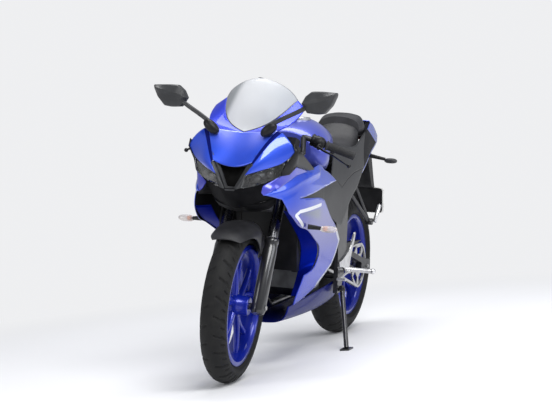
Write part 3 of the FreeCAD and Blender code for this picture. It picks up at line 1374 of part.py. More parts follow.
def make_bars():
    """Clip-on handlebars, grips with end weights, switch boxes and levers."""
    bore = up_tube(V(LEG.x, LEG.y, 0), 0, HEAD_TOP + 250, size("fork_tube_diameter") / 2 + FIT)
    ring = up_tube(V(LEG.x, LEG.y, 0), HEAD_TOP - 32, HEAD_TOP, 31)
    outward = (BAR_RISE - BAR_START).normalize()
    bar = bar_path([BAR_START + outward * 24, BAR_RISE, BAR_BEND, BAR_END], size("bar_diameter") / 2)
    keep_shape("handlebars", both_sides(fused([ring, bar]).cut(bore)), STEERING)
    grip = sleeve(2, 122, size("grip_diameter") / 2)
    box = sleeve(152, 184, 23)
    perch = sleeve(124, 150, 17)
    pivot = on_bar(138) + V(36, 0, -30)
    perch_root = on_bar(138) + V(11, 0, -9)
    perch_arm = rod(perch_root, pivot, 10)
    perch = fused([perch, perch_arm])
    knuckle = pivot + (pivot - perch_root).normalize() * (7 + FIT)
    curve = knuckle + BAR_WAY * 62 + V(18, 0, -14)
    lever = fused([bar_path([knuckle, curve, LEVER_TIP], 5.5), Part.makeSphere(8.5, LEVER_TIP)])
    keep_shape("levers", both_sides(lever), STEERING)
    reservoir = up_tube(V(LEG.x + 2, -LEG.y - 56, 0), HEAD_TOP + 34, HEAD_TOP + 66, 19)
    stay_height = TOP_CLAMP + size("clamp_thickness") + FIT + 4
    stay = rod(V(LEG.x + 2, -LEG.y - 56, stay_height), V(LEG.x + 4, -LEG.y - 25, stay_height), 4)
    reservoir = fused([reservoir, stay])
    controls = [reservoir]
    for left in (grip, box, perch):
        controls.extend(solids_of(both_sides(left)))
    keep_shape("bar_controls", Part.makeCompound(controls), STEERING)


def make_fender():
    """Front fender round the tyre, narrow between the fork legs, in the wheel's frame."""
    crown = size("front_tyre_radius") + 19
    stations = ((64, 66, 282), (74, 78, 266), (84, 84, 244), (94, 84, 205), (101, 72, 178), (106, 61, 190),
                (116, 60, 212), (126, 60, 224), (136, 66, 236), (148, 70, 246), (160, 70, 258))
    net = []
    for angle, half, skirt in stations:
        turn = math.radians(angle)
        row = []
        for side, radius in ((1.0, skirt), (1.02, crown - 46), (0.92, crown - 18), (0.55, crown), (0.0, crown + 3),
                             (-0.55, crown), (-0.92, crown - 18), (-1.02, crown - 46), (-1.0, skirt)):
            row.append(V(radius * math.cos(turn), side * half, radius * math.sin(turn)))
        net.append(row)
    wheel_core = size("bead_radius") - 60

    def inward(point):
        flat = V(point.x, 0, point.z)
        core = V(flat).normalize() * min(wheel_core, flat.Length)
        return (core - point).normalize()

    keep_shape("front_fender", panel(net, inward, 0, WALL), FRONT_WHEEL)


def make_front_caliper():
    """Front caliper behind the right fork leg, over the disc."""
    block = Part.makeBox(58, 29, 84, V(LEG.x - 156, -79, AXLE_UP + 14))
    side = size("disc_side")
    thick = size("disc_thickness")
    gap = Part.makeCylinder(size("front_disc_radius") + 3, thick + 2 * 0.8,
                            V(LEG.x, -side - thick / 2 - 0.8, AXLE_UP), V(0, 1, 0))
    mount = Part.makeBox(47.7, 15, 56, V(LEG.x - 104, -LEG.y + 3, AXLE_UP + 22))
    lug_room = Part.makeBox(60, 14 + 2 * FIT, 60 + 2 * FIT, V(LEG.x - 56 - FIT, -LEG.y - FIT, AXLE_UP + 20 - FIT))
    caliper = fused([block, mount]).cut([gap, lug_room])
    keep_shape("front_caliper", caliper, STEERING)


def make_brake_hose():
    """Brake hose from the front caliper up to the reservoir."""
    route = points((-80, -66, AXLE_UP + 99.4), (-78, -82, AXLE_UP + 150), (-48, -122, AXLE_UP + 235),
                   (-10, -138, AXLE_UP + 330), (14, -140, AXLE_UP + 430), (44, -138, AXLE_UP + 530),
                   (78, -132, HEAD_TOP - 30), (62, -140, HEAD_TOP + 32.8))
    keep_shape("brake_hose", bent_tube(route, 3.5, 55), STEERING)


def make_stand():
    """Side stand: leg and foot on an eye round the frame's pin, folding back and up."""
    foot = Part.makeBox(62, 40, 7, V(-31, -20, 0))
    foot.Placement = CHASSIS.inverse().multiply(Place(STAND_GROUND, Turn()))
    leg = rod(STAND_PIVOT + STAND_OUT * 12, STAND_FOOT, size("stand_diameter") / 2)
    half = STAND_HINGE * 8
    eye = rod(STAND_PIVOT - half, STAND_PIVOT + half, 15)
    bore = rod(STAND_PIVOT - half * 2, STAND_PIVOT + half * 2, STAND_PIN + FIT)
    keep_shape("side_stand", fused([leg, foot, eye]).cut(bore), CHASSIS)


# Build, check and write
def export_all():
    """Check every object and every node, then write one file per node."""
    doc.recompute()
    for item in doc.Objects:
        bad = [state for state in item.State if state in ("Invalid", "Error")]
        if bad:
            raise RuntimeError("%s is %s" % (item.Name, bad))
    os.makedirs("parts", exist_ok=True)
    for name, item in nodes.items():
        shape = item.Shape
        if shape.isNull() or not shape.isValid() or shape.Volume <= 0:
            raise RuntimeError("%s has a bad shape" % name)
        shape.exportStep("parts/%s.step" % name)


make_wheels()
make_side_cowls()
make_belly_pan()
make_nose_cowl()
make_windscreen()
make_headlamps()
make_nose_trim()
make_cluster()
make_mirrors()
make_indicators()
make_tank()
make_lid()
make_seats()
make_side_covers()
make_plate(make_tail())
make_frame()
make_subframe()
make_engine()
make_cooling()
make_exhaust()
make_swingarm()
make_shafts()
make_shock()
make_chain()
make_chain_guard()
make_footrests()
make_pedals()
make_rear_caliper()
make_fork()
make_clamps()
make_bars()
make_fender()
make_front_caliper()
make_brake_hose()
make_stand()
export_all()
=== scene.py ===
import json
import math

import bmesh
import bpy
import numpy as np
from mathutils import Matrix, Vector
from mathutils.geometry import delaunay_2d_cdt


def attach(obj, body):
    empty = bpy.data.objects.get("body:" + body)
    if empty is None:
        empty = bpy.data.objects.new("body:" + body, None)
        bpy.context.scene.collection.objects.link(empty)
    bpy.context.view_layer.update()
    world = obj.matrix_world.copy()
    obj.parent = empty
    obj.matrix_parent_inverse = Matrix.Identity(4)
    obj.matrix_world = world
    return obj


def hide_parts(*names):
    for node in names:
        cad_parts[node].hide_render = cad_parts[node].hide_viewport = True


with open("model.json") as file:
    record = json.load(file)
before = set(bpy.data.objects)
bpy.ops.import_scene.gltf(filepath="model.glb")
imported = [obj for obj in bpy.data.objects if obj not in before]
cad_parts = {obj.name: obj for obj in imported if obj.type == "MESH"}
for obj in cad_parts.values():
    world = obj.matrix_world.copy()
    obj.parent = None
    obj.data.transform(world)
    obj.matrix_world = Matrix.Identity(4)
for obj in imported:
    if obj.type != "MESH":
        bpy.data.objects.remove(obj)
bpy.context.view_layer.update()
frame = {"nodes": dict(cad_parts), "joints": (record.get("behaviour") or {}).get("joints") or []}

# Sizes and frames of the bike, in the CAD's own millimetres, and the angles of its fork
MM = 0.001
RAKE = math.radians(25.5)
OFFSET = 48.0
WHEELBASE = 1325.0
FRONT_X = 662.5
FRONT_R = 296.0
REAR_R = 314.0
TYRE_PLAY = 0.2
LEG_Y = 95.0
HEAD_TOP = 838.0 + 112.0
STEER_REST = math.radians(5.0)
JOINTS = {joint["name"]: joint for joint in frame["joints"]}
SIDES = (("left", 1), ("right", -1))


def turn(axis, angle):
    """4 x 4 turn about a frame axis."""
    return np.array(Matrix.Rotation(angle, 4, axis))


def shift(x, y, z):
    """4 x 4 move."""
    return np.array(Matrix.Translation((x, y, z)))


def chassis_place():
    """Place of the upright bike's frame in the row, from the rear wheel's joint."""
    axle = np.array(JOINTS["rear_wheel_spin"]["axis"])
    lean = math.acos(axle[1])
    pitch = math.asin(-axle[0] / math.sin(lean))
    place = turn("Y", pitch) @ turn("X", -lean)
    rear = np.array([FRONT_X - WHEELBASE, 0.0, REAR_R])
    place[:3, 3] = np.array(JOINTS["rear_wheel_spin"]["pos_m"]) / MM - place[:3, :3] @ rear
    return place


# AXLE is how far the front axle lies up the fork from the ground, along the steering axis
AXLE = (FRONT_R - OFFSET * math.sin(RAKE)) / math.cos(RAKE)
HEAD_FOOT_X = FRONT_X - math.cos(RAKE) * OFFSET + math.sin(RAKE) * AXLE
BIKE = chassis_place()
RAKED = shift(HEAD_FOOT_X, 0, 0) @ turn("Y", -RAKE)
FORK = BIKE @ RAKED @ turn("Z", STEER_REST)
FRONT_HUB = FORK @ shift(OFFSET, 0, AXLE) @ turn("Y", RAKE)
REAR_HUB = BIKE @ shift(FRONT_X - WHEELBASE, 0, REAR_R)


def placed(points, place):
    """Points in millimetres of one frame, in metres of the row."""
    points = np.asarray(points, float)
    return (points @ place[:3, :3].T + place[:3, 3]) * MM


def in_fork(point):
    """A point of the upright bike as it stands with its bars turned, in the steering's own frame."""
    inverse = np.linalg.inv(RAKED @ turn("Z", STEER_REST))
    return inverse[:3, :3] @ np.array(point, float) + inverse[:3, 3]


# Surfaces
def basis(count, degree, where):
    """Weights of a clamped even B-spline's poles at parameters from 0 to count - degree (Cox-de Boor)."""
    top = count - degree
    knots = np.concatenate([np.zeros(degree), np.arange(top + 1.0), np.full(degree, float(top))])
    t = np.clip(np.asarray(where, float), 0, top - 1e-9)[:, None]
    weight = ((t >= knots[None, :-1]) & (t < knots[None, 1:])).astype(float)
    for order in range(1, degree + 1):
        rise = knots[order:-1] - knots[:-order - 1]
        fall = knots[order + 1:] - knots[1:-order]
        left = np.where(rise > 0, (t - knots[:-order - 1]) / np.where(rise > 0, rise, 1), 0)
        right = np.where(fall > 0, (knots[order + 1:] - t) / np.where(fall > 0, fall, 1), 0)
        weight = left * weight[:, :-1] + right * weight[:, 1:]
    return weight


def patch(net, rows, columns):
    """Tensor B-spline surface of a net of poles, up to cubic each way, sampled evenly."""
    net = np.asarray(net, float)
    u_degree = min(3, net.shape[0] - 1)
    v_degree = min(3, net.shape[1] - 1)
    u = basis(net.shape[0], u_degree, np.linspace(0, net.shape[0] - u_degree, rows))
    v = basis(net.shape[1], v_degree, np.linspace(0, net.shape[1] - v_degree, columns))
    return np.einsum("ai,ijk,bj->abk", u, net, v)


def even(line, count):
    """Points spread evenly along straight runs through the given points."""
    line = np.asarray(line, float)
    lengths = np.concatenate([[0], np.cumsum(np.linalg.norm(np.diff(line, axis=0), axis=1))])
    target = np.linspace(0, lengths[-1], count)
    return np.stack([np.interp(target, lengths, line[:, k]) for k in range(3)], axis=1)


def smooth_line(line, count, closed=False):
    """Catmull-Rom curve through the points, evenly sampled in its parameter."""
    line = np.asarray(line, float)
    if closed:
        padded = np.concatenate([line[-1:], line, line[:2]])
        spans = len(line)
    else:
        padded = np.concatenate([2 * line[:1] - line[1:2], line, 2 * line[-1:] - line[-2:-1]])
        spans = len(line) - 1
    t = np.linspace(0, spans, count, endpoint=not closed)
    k = np.minimum(t.astype(int), spans - 1)
    s = (t - k)[:, None]
    a, b, c, d = (padded[k + n] for n in range(4))
    return 0.5 * (2 * b + (c - a) * s + (2 * a - 5 * b + 4 * c - d) * s ** 2
                  + (3 * b - 3 * c + d - a) * s ** 3)


def coons(first, last, left, right, bulge):
    """Net between four edges: across plus down minus corners, with a crown 16 u(1-u)v(1-v)."""
    first, last, left, right = (np.asarray(edge, float) for edge in (first, last, left, right))
    u = np.linspace(0, 1, len(left))[:, None, None]
    v = np.linspace(0, 1, len(first))[None, :, None]
    across = left[:, None] * (1 - v) + right[:, None] * v
    down = first[None] * (1 - u) + last[None] * u
    corners = (first[0] * (1 - u) * (1 - v) + first[-1] * (1 - u) * v
               + last[0] * u * (1 - v) + last[-1] * u * v)
    return across + down - corners + np.asarray(bulge, float) * 16 * u * (1 - u) * v * (1 - v)


def frames_along(path, up=(0, 0, 1)):
    """Side and up unit vectors at each point of a path, both square to its direction."""
    path = np.asarray(path, float)
    way = np.gradient(path, axis=0)
    way /= np.linalg.norm(way, axis=1, keepdims=True)
    side = np.cross(way, np.asarray(up, float))
    side /= np.linalg.norm(side, axis=1, keepdims=True)
    return side, np.cross(side, way)


def swept(path, profile, scale=None, up=(0, 0, 1)):
    """A profile of (side, up) points carried along a path: point = path + side a + up b."""
    side, over = frames_along(path, up)
    profile = np.asarray(profile, float)
    scale = np.ones(len(path)) if scale is None else np.asarray(scale, float)
    a = profile[None, :, 0, None] * scale[:, None, None]
    b = profile[None, :, 1, None] * scale[:, None, None]
    return np.asarray(path, float)[:, None] + side[:, None] * a + over[:, None] * b


def ring_profile(radius, count=16, flat=1.0, power=2.0):
    """Superellipse |a|^p + |b|^p = r^p, closed, flattened in its second direction."""
    angle = np.linspace(0, 2 * math.pi, count, endpoint=False)
    c, s = np.cos(angle), np.sin(angle)
    size = (np.abs(c) ** power + np.abs(s) ** power) ** (-1 / power)
    return np.stack([radius * size * c, radius * flat * size * s], axis=1)


def lathe(profile, count=64, axis="y"):
    """Points (radius r, along a) turned about Y, as (r cos t, a, r sin t), or Z, as (r cos t, r sin t, a)."""
    profile = np.asarray(profile, float)
    angle = np.linspace(0, 2 * math.pi, count, endpoint=False)[:, None]
    r, a = profile[None, :, 0], profile[None, :, 1] + 0 * angle
    if axis == "y":
        return np.stack([r * np.cos(angle), a, r * np.sin(angle)], axis=2)
    return np.stack([r * np.cos(angle), r * np.sin(angle), a], axis=2)


class Piece:
    """Grids gathered into one mesh, mirrored to the other side where asked."""

    def __init__(self, name, place=BIKE):
        self.name, self.place = name, place
        self.points, self.faces, self.uvs, self.slots = [], [], [], []
        self.count = 0
        self.slot = 0

    def raw(self, points, faces, uv=None):
        """Adds points with faces as an index array of triangles or quads."""
        points = np.asarray(points, float)
        faces = np.asarray(faces, int)
        uv = points[:, [0, 2]] * MM if uv is None else np.asarray(uv, float)
        self.points.append(points)
        self.uvs.append(uv)
        self.faces.append(faces + self.count)
        self.slots.append(np.full(len(faces), self.slot))
        self.count += len(points)

    def grid(self, grid, ring=False, tube=False, flip=False, caps=False, both=False, uv=None):
        """Adds a grid: ring joins its last row to the first, tube its last column to the first."""
        grid = np.asarray(grid, float)
        rows, columns = grid.shape[:2]
        index = np.arange(rows * columns).reshape(rows, columns)
        if ring:
            index = np.vstack([index, index[:1]])
        if tube:
            index = np.hstack([index, index[:, :1]])
        a, b, c, d = index[:-1, :-1], index[:-1, 1:], index[1:, 1:], index[1:, :-1]
        faces = np.stack([a, b, c, d] if not flip else [d, c, b, a], axis=-1).reshape(-1, 4)
        points = grid.reshape(-1, 3)
        flat_uv = None if uv is None else np.asarray(uv, float).reshape(-1, 2)
        self.raw(points, faces, flat_uv)
        if caps:
            for row, outward in ((0, flip), (rows - 1, not flip)):
                loop = index[row, :columns]
                centre = points[loop].mean(0)
                ring_points = np.vstack([points[loop], centre[None]])
                n = len(loop)
                k = np.arange(n)
                fan = np.stack([k, (k + 1) % n, np.full(n, n)], axis=1)
                self.raw(ring_points, fan if outward else fan[:, ::-1])
        if both:
            self.grid(mirror(grid), ring, tube, not flip, caps, False, uv)

    def make(self, materials, body, replaces=(), wall=0.0, bevel=0.0, weld=0.0, sharp=35.0,
             closed=False, lined=False):
        """Turns the gathered grids into a Blender object that rides on a body.

        A closed piece has its faces turned outward, and a lined one has its last material on its inner side.
        """
        points = placed(np.concatenate(self.points), self.place)
        faces = [tuple(face) for block in self.faces for face in block.tolist()]
        mesh = bpy.data.meshes.new(self.name)
        mesh.from_pydata(points.tolist(), [], faces)
        layer = mesh.uv_layers.new(name="Pattern")
        loop_vertex = np.zeros(len(mesh.loops), np.int32)
        mesh.loops.foreach_get("vertex_index", loop_vertex)
        layer.data.foreach_set("uv", np.concatenate(self.uvs)[loop_vertex].astype(np.float32).ravel())
        mesh.polygons.foreach_set("material_index", np.concatenate(self.slots).astype(np.int32))
        for material in materials:
            mesh.materials.append(material.material)
        mesh.validate()
        tool = bmesh.new()
        tool.from_mesh(mesh)
        if weld:
            bmesh.ops.remove_doubles(tool, verts=tool.verts, dist=weld * MM)
        bmesh.ops.dissolve_degenerate(tool, edges=tool.edges, dist=1e-6)
        if closed:
            bmesh.ops.recalc_face_normals(tool, faces=tool.faces)
        tool.to_mesh(mesh)
        tool.free()
        mesh.shade_smooth()
        mesh.set_sharp_from_angle(angle=math.radians(sharp))
        piece = bpy.data.objects.new(self.name, mesh)
        bpy.context.scene.collection.objects.link(piece)
        if wall:
            solid = piece.modifiers.new("Wall", "SOLIDIFY")
            solid.thickness = wall * MM
            solid.offset = -1.0
            solid.use_even_offset = True
            solid.thickness_clamp = 1.0
            if lined:
                solid.material_offset = len(materials) - 1
        if bevel:
            edge = piece.modifiers.new("Edge", "BEVEL")
            edge.width = bevel * MM
            edge.segments = 2
            edge.limit_method = "ANGLE"
        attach(piece, body)
        if replaces:
            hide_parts(*replaces)
        return piece


# Shader maths
def join(tree, slot, value):
    """Links or sets one input socket. A colour of three parts is opaque."""
    if isinstance(value, Value):
        tree.links.new(value.socket, slot)
    elif isinstance(value, bpy.types.NodeSocket):
        tree.links.new(value, slot)
    elif slot.type == "RGBA" and len(value) == 3:
        slot.default_value = (*value, 1.0)
    else:
        slot.default_value = value


def add_node(tree, kind, settings=None, sockets=None):
    """A node of one kind: its settings are set first, then its sockets, by name or by number."""
    node = tree.nodes.new(kind)
    for key, value in (settings or {}).items():
        setattr(node, key, value)
    for key, value in (sockets or {}).items():
        join(tree, node.inputs[key], value)
    return node


def mix_shaders(tree, factor, first, second):
    """The first shader where the factor is 0, the second where it is 1."""
    return add_node(tree, "ShaderNodeMixShader", sockets={0: factor, 1: first, 2: second}).outputs[0]


class Value:
    """A shader socket whose operators add Math nodes."""

    def __init__(self, tree, socket):
        self.tree, self.socket = tree, socket

    def maths(self, operation, *others):
        """Result of a Math node on this value and the others."""
        sockets = dict(enumerate((self,) + others))
        node = add_node(self.tree, "ShaderNodeMath", {"operation": operation}, sockets)
        return Value(self.tree, node.outputs[0])

    def __add__(self, other):
        return self.maths("ADD", other)

    __radd__ = __add__

    def __sub__(self, other):
        return self.maths("SUBTRACT", other)

    def __rsub__(self, other):
        return (self * -1.0) + other

    def __mul__(self, other):
        return self.maths("MULTIPLY", other)

    __rmul__ = __mul__

    def __truediv__(self, other):
        return self.maths("DIVIDE", other)

    def __pow__(self, other):
        return self.maths("POWER", other)

    def __abs__(self):
        return self.maths("ABSOLUTE")

    def least(self, other):
        """The smaller of two values."""
        return self.maths("MINIMUM", other)

    def most(self, other):
        """The larger of two values."""
        return self.maths("MAXIMUM", other)

    def step(self, low, high):
        """Smooth step from 0 at low to 1 at high."""
        sockets = {"Value": self, "From Min": low, "From Max": high, "To Min": 0.0, "To Max": 1.0}
        node = add_node(self.tree, "ShaderNodeMapRange", {"interpolation_type": "SMOOTHSTEP"}, sockets)
        return Value(self.tree, node.outputs[0])


class Finish:
    """One material: its shader and the patterns that feed it."""

    def __init__(self, name, colour=(0.5, 0.5, 0.5), rough=0.5, metal=0.0, **settings):
        self.material = bpy.data.materials.new(name)
        self.material.use_nodes = True
        self.tree = self.material.node_tree
        self.shader = self.tree.nodes["Principled BSDF"]
        self.put("Base Color", colour)
        self.put("Roughness", rough)
        self.put("Metallic", metal)
        for key, value in settings.items():
            self.put(key.replace("_", " "), value)
        self.where = self.node("ShaderNodeTexCoord")

    def node(self, kind, settings=None, sockets=None):
        """A new node of this material."""
        return add_node(self.tree, kind, settings, sockets)

    def put(self, key, value):
        """Sets or links one input of the shader."""
        join(self.tree, self.shader.inputs[key], value)

    def axes(self, source="Object"):
        """The three numbers of Object coordinates, or of the UV map."""
        split = self.node("ShaderNodeSeparateXYZ", sockets={"Vector": self.where.outputs[source]})
        return [Value(self.tree, output) for output in split.outputs]

    def noise(self, scale, detail=2.0):
        """Noise in Object coordinates."""
        sockets = {"Vector": self.where.outputs["Object"], "Scale": scale, "Detail": detail}
        return Value(self.tree, self.node("ShaderNodeTexNoise", sockets=sockets).outputs["Fac"])

    def cells(self, scale):
        """Distance from the nearest cell's middle in a Voronoi pattern of Object coordinates."""
        sockets = {"Vector": self.where.outputs["Object"], "Scale": scale}
        return Value(self.tree, self.node("ShaderNodeTexVoronoi", sockets=sockets).outputs["Distance"])

    def blend(self, factor, first, second):
        """Colour between two colours."""
        return self.node("ShaderNodeMix", {"data_type": "RGBA"}, {0: factor, 6: first, 7: second}).outputs[2]

    def bump(self, height, depth, strength=1.0):
        """Feeds a height into the shader's normal."""
        sockets = {"Height": height, "Distance": depth, "Strength": strength}
        self.put("Normal", self.node("ShaderNodeBump", sockets=sockets).outputs[0])

    def finish_with(self, shader):
        """Sends a shader to the material's output."""
        join(self.tree, self.tree.nodes["Material Output"].inputs["Surface"], shader)


def clear_coated(name, coat=1.0):
    """Metallic paint without its colour, and its flakes, which show in its sheen under a rippled coat."""
    made = Finish(name, metal=0.35, Coat_Weight=coat, Coat_Roughness=0.04, Specular_IOR_Level=0.5 * coat)
    flakes = made.cells(1400.0).step(0.1, 0.7)
    made.put("Roughness", flakes * 0.1 + 0.27)
    made.bump(made.noise(420.0, 1.0), 0.00004, 0.35)
    return made, flakes


def painted(name, colour, shade, coat=1.0):
    """Metallic paint with flakes and a slow drift in its colour."""
    made, flakes = clear_coated(name, coat)
    drift = made.noise(7.0, 3.0)
    made.put("Base Color", made.blend(flakes * 0.25 + drift.step(0.35, 0.7) * 0.35, colour, shade))
    return made


def plastic(name, colour, rough=0.5, grain=0.00006, **settings):
    """Moulded plastic with a fine grain and slight blotches in its sheen."""
    made = Finish(name, **settings)
    blotch = made.noise(18.0, 3.0)
    lighter = tuple(min(1.0, part * 1.35 + 0.004) for part in colour)
    made.put("Base Color", made.blend(blotch.step(0.35, 0.7), colour, lighter))
    made.put("Roughness", blotch * 0.14 + (rough - 0.07))
    made.bump(made.cells(1500.0), grain, 0.5)
    return made


def metal(name, colour, rough=0.35, metallic=1.0, **settings):
    """Metal with fine scratches and worn shades."""
    made = Finish(name, metal=metallic, **settings)
    wear = made.noise(26.0, 4.0)
    lines = made.noise(300.0, 2.0)
    darker = tuple(part * 0.78 for part in colour)
    made.put("Base Color", made.blend(wear.step(0.38, 0.68), colour, darker))
    made.put("Roughness", lines * 0.16 + wear * 0.1 + (rough - 0.12))
    made.bump(lines, 0.00004, 0.4)
    return made


# Materials
BLUE = (0.006, 0.066, 0.66)
BLUE_DEEP = (0.003, 0.026, 0.36)
paint = painted("racing_blue", BLUE, BLUE_DEEP)
# Dark navy copy of the racing blue: painted shade, for the belly pan under the bike and the groove between
# hood and brow.
shade_blue_paint = painted("racing_blue_painted_shade", (0.002, 0.007, 0.14), (0.0015, 0.004, 0.08), 0.12)
satin_black = plastic("satin_black", (0.005, 0.005, 0.006), 0.42, Specular_IOR_Level=0.25)
grained_black = plastic("grained_black", (0.009, 0.009, 0.01), 0.62, 0.00012)
gloss_black = plastic("gloss_black", (0.003, 0.003, 0.004), 0.3, 0.00002, Specular_IOR_Level=0.3)
lining_black = plastic("lining_black", (0.002, 0.002, 0.003), 0.7, Specular_IOR_Level=0.1)
mirror_grey = plastic("mirror_grey", (0.024, 0.025, 0.027), 0.42, 0.00008, Specular_IOR_Level=0.35)
alloy = metal("cast_alloy", (0.55, 0.56, 0.58), 0.38)
alloy_dark = metal("dark_alloy", (0.05, 0.05, 0.055), 0.42, 0.8)
engine_grey = metal("engine_grey", (0.16, 0.165, 0.175), 0.48, 0.85)
silver = metal("footrest_silver", (0.72, 0.72, 0.73), 0.34)
steel = metal("ground_steel", (0.5, 0.5, 0.5), 0.3)
# Dark steel for the fork tubes: painted shade, as they sit in shadow under the nose.
shaded_tube = metal("fork_tube_painted_shade", (0.12, 0.12, 0.125), 0.24)
frame_black = metal("frame_black", (0.02, 0.02, 0.023), 0.4, 0.4, Coat_Weight=0.4)
wheel_blue = painted("wheel_blue", (0.003, 0.017, 0.32), (0.002, 0.008, 0.18), 0.6)
# Lavender blue: painted sheen, the pale reflection on the side cowls' upper facets.
sheen_blue_paint = painted("racing_blue_painted_sheen", (0.05, 0.06, 0.5), (0.03, 0.035, 0.38))
# Paler, greyer blue for the tank: painted sheen, the reflection of the bright surroundings on its top.
tank_sheen_paint = painted("racing_blue_tank_painted_sheen", (0.07, 0.09, 0.46), (0.045, 0.06, 0.34), 0.6)
# Racing blue tinted toward lavender for the nose's wings: painted sheen, under a thin clear coat.
wing_sheen_paint = painted("racing_blue_wing_painted_sheen", (0.012, 0.035, 0.58), (0.006, 0.02, 0.4), 0.3)
# Deep dull blue for the cowls' inner flanks: painted shade, as they lie in shadow.
inner_shade_blue = painted("racing_blue_inner_painted_shade", (0.002, 0.010, 0.24), (0.001, 0.005, 0.14), 0.0)


def hood_blue_with_highlight():
    """Racing blue with a painted highlight that grows paler toward the screen, most along two bands beside
    the middle.
    """
    made, _ = clear_coated("racing_blue_hood_painted_highlight")
    x, y, _ = made.axes()
    highlight_bands = 1.0 - abs(abs(y) - 0.062).step(0.0, 0.05)
    painted_highlight = (1.0 - x.step(0.676, 0.748)) * (highlight_bands * 0.5 + 0.3)
    blue = made.blend(made.noise(7.0, 3.0).step(0.35, 0.7) * 0.35, BLUE, BLUE_DEEP)
    # The pale blue (0.20, 0.24, 0.85) is the painted highlight.
    made.put("Base Color", made.blend(painted_highlight, blue, (0.20, 0.24, 0.85)))
    return made


hood_highlight_paint = hood_blue_with_highlight()


def screen_glass():
    """Acrylic with a dark printed border; its pale tone, greyer on its far side and toward its near edge, is
    painted reflection.
    """
    made = Finish("screen_painted_reflection", rough=0.12, Transmission_Weight=0.3, IOR=1.12, Specular_IOR_Level=0.5)
    _, y, z = made.axes()
    # The tones across the screen are painted reflection.
    across = y + 0.192 - z * 0.139 + (1.135 - z) * 0.3
    near = made.blend(across.step(0.04, 0.26), (0.66, 0.67, 0.69), (0.47, 0.49, 0.52))
    made.put("Base Color", made.blend(across.step(-0.02, 0.02), (0.32, 0.335, 0.35), near))
    u, v, _ = made.axes("UV")
    edge = u.least(1.0 - u).least(v.least(1.0 - v))
    ink = {"Base Color": (0.08, 0.085, 0.1), "Roughness": 0.2}
    printed = made.node("ShaderNodeBsdfPrincipled", sockets=ink)
    inner = edge.step(0.005, 0.009)
    made.finish_with(mix_shaders(made.tree, inner, printed.outputs[0], made.shader.outputs[0]))
    return made


glass_screen = screen_glass()
glass_lens = Finish("clear_lens", (0.95, 0.96, 0.97), 0.02, Transmission_Weight=1.0, IOR=1.35)
glass_lens.bump(glass_lens.noise(60.0, 1.0), 0.0001, 0.05)
glass_signal = Finish("signal_lens", (0.82, 0.78, 0.76), 0.1, Transmission_Weight=0.6, IOR=1.3)
glass_signal.bump(glass_signal.cells(120.0), 0.0004, 0.5)
# Dark grey metal for the lamp bowls: painted shade, the dark inside of the lamps.
dark_reflector = metal("lamp_reflector_painted_shade", (0.13, 0.135, 0.14), 0.25)
intake_mesh = plastic("intake_mesh", (0.002, 0.002, 0.002), 0.9, Specular_IOR_Level=0.05)
rubber = plastic("rubber", (0.012, 0.012, 0.013), 0.75, 0.0001)
red_lens = Finish("red_lens", rough=0.12, Coat_Weight=0.8)
prisms = red_lens.cells(160.0)
red_lens.put("Base Color", red_lens.blend(prisms.step(0.1, 0.6), (0.55, 0.012, 0.014), (0.28, 0.004, 0.006)))
red_lens.bump(prisms, 0.0006, 0.6)
amber = Finish("amber_bulb", (0.75, 0.22, 0.05), 0.3)
amber.bump(amber.noise(120.0), 0.0002, 0.4)
plate_white = plastic("plate_white", (0.72, 0.72, 0.7), 0.45, 0.00003)
mirror_silver = Finish("mirror_silver", (0.86, 0.88, 0.9), metal=1.0)
mirror_silver.put("Roughness", mirror_silver.noise(9.0) * 0.03 + 0.01)
fork_finish = metal("fork_black", (0.018, 0.018, 0.02), 0.3, 0.3, Coat_Weight=0.7, Coat_Roughness=0.08)
fender_finish = plastic("fender_grey", (0.013, 0.013, 0.015), 0.45, 0.00005, Specular_IOR_Level=0.35)


def tyre_rubber():
    """Tyre rubber: dusty blotches and a fine grain."""
    made = Finish("tyre_rubber", Specular_IOR_Level=0.25)
    dust = made.noise(40.0, 4.0)
    made.put("Base Color", made.blend(dust.step(0.3, 0.8), (0.005, 0.005, 0.0055), (0.011, 0.011, 0.0105)))
    made.put("Roughness", dust * 0.2 + 0.58)
    made.bump(made.cells(700.0), 0.0002, 0.6)
    return made


rubber_tyre = tyre_rubber()


def leather():
    """Seat cover: fine pebbled vinyl with slow creases."""
    made = Finish("seat_vinyl")
    pebble = made.cells(520.0)
    slow = made.noise(14.0, 4.0)
    made.put("Base Color", made.blend(slow.step(0.35, 0.7), (0.014, 0.014, 0.016), (0.026, 0.026, 0.03)))
    made.put("Roughness", pebble * 0.2 + 0.44)
    made.bump(pebble * 0.7 + slow * 1.4, 0.0005, 0.5)
    return made


seat_cover = leather()


def segment_gap(x, z, start, end):
    """Distance in the side view from a straight seam between two points, in metres."""
    (ax, az), (bx, bz) = start, end
    dx, dz = bx - ax, bz - az
    reach = dx * dx + dz * dz
    share = (((x - ax) * dx + (z - az) * dz) / reach).most(0.0).least(1.0)
    return (((x - ax) - share * dx) ** 2.0 + ((z - az) - share * dz) ** 2.0) ** 0.5


def polyline_gap(x, z, line):
    """Distance in the side view from a line of straight seams."""
    gap = segment_gap(x, z, line[0], line[1])
    for start, end in zip(line[1:-1], line[2:]):
        gap = gap.least(segment_gap(x, z, start, end))
    return gap


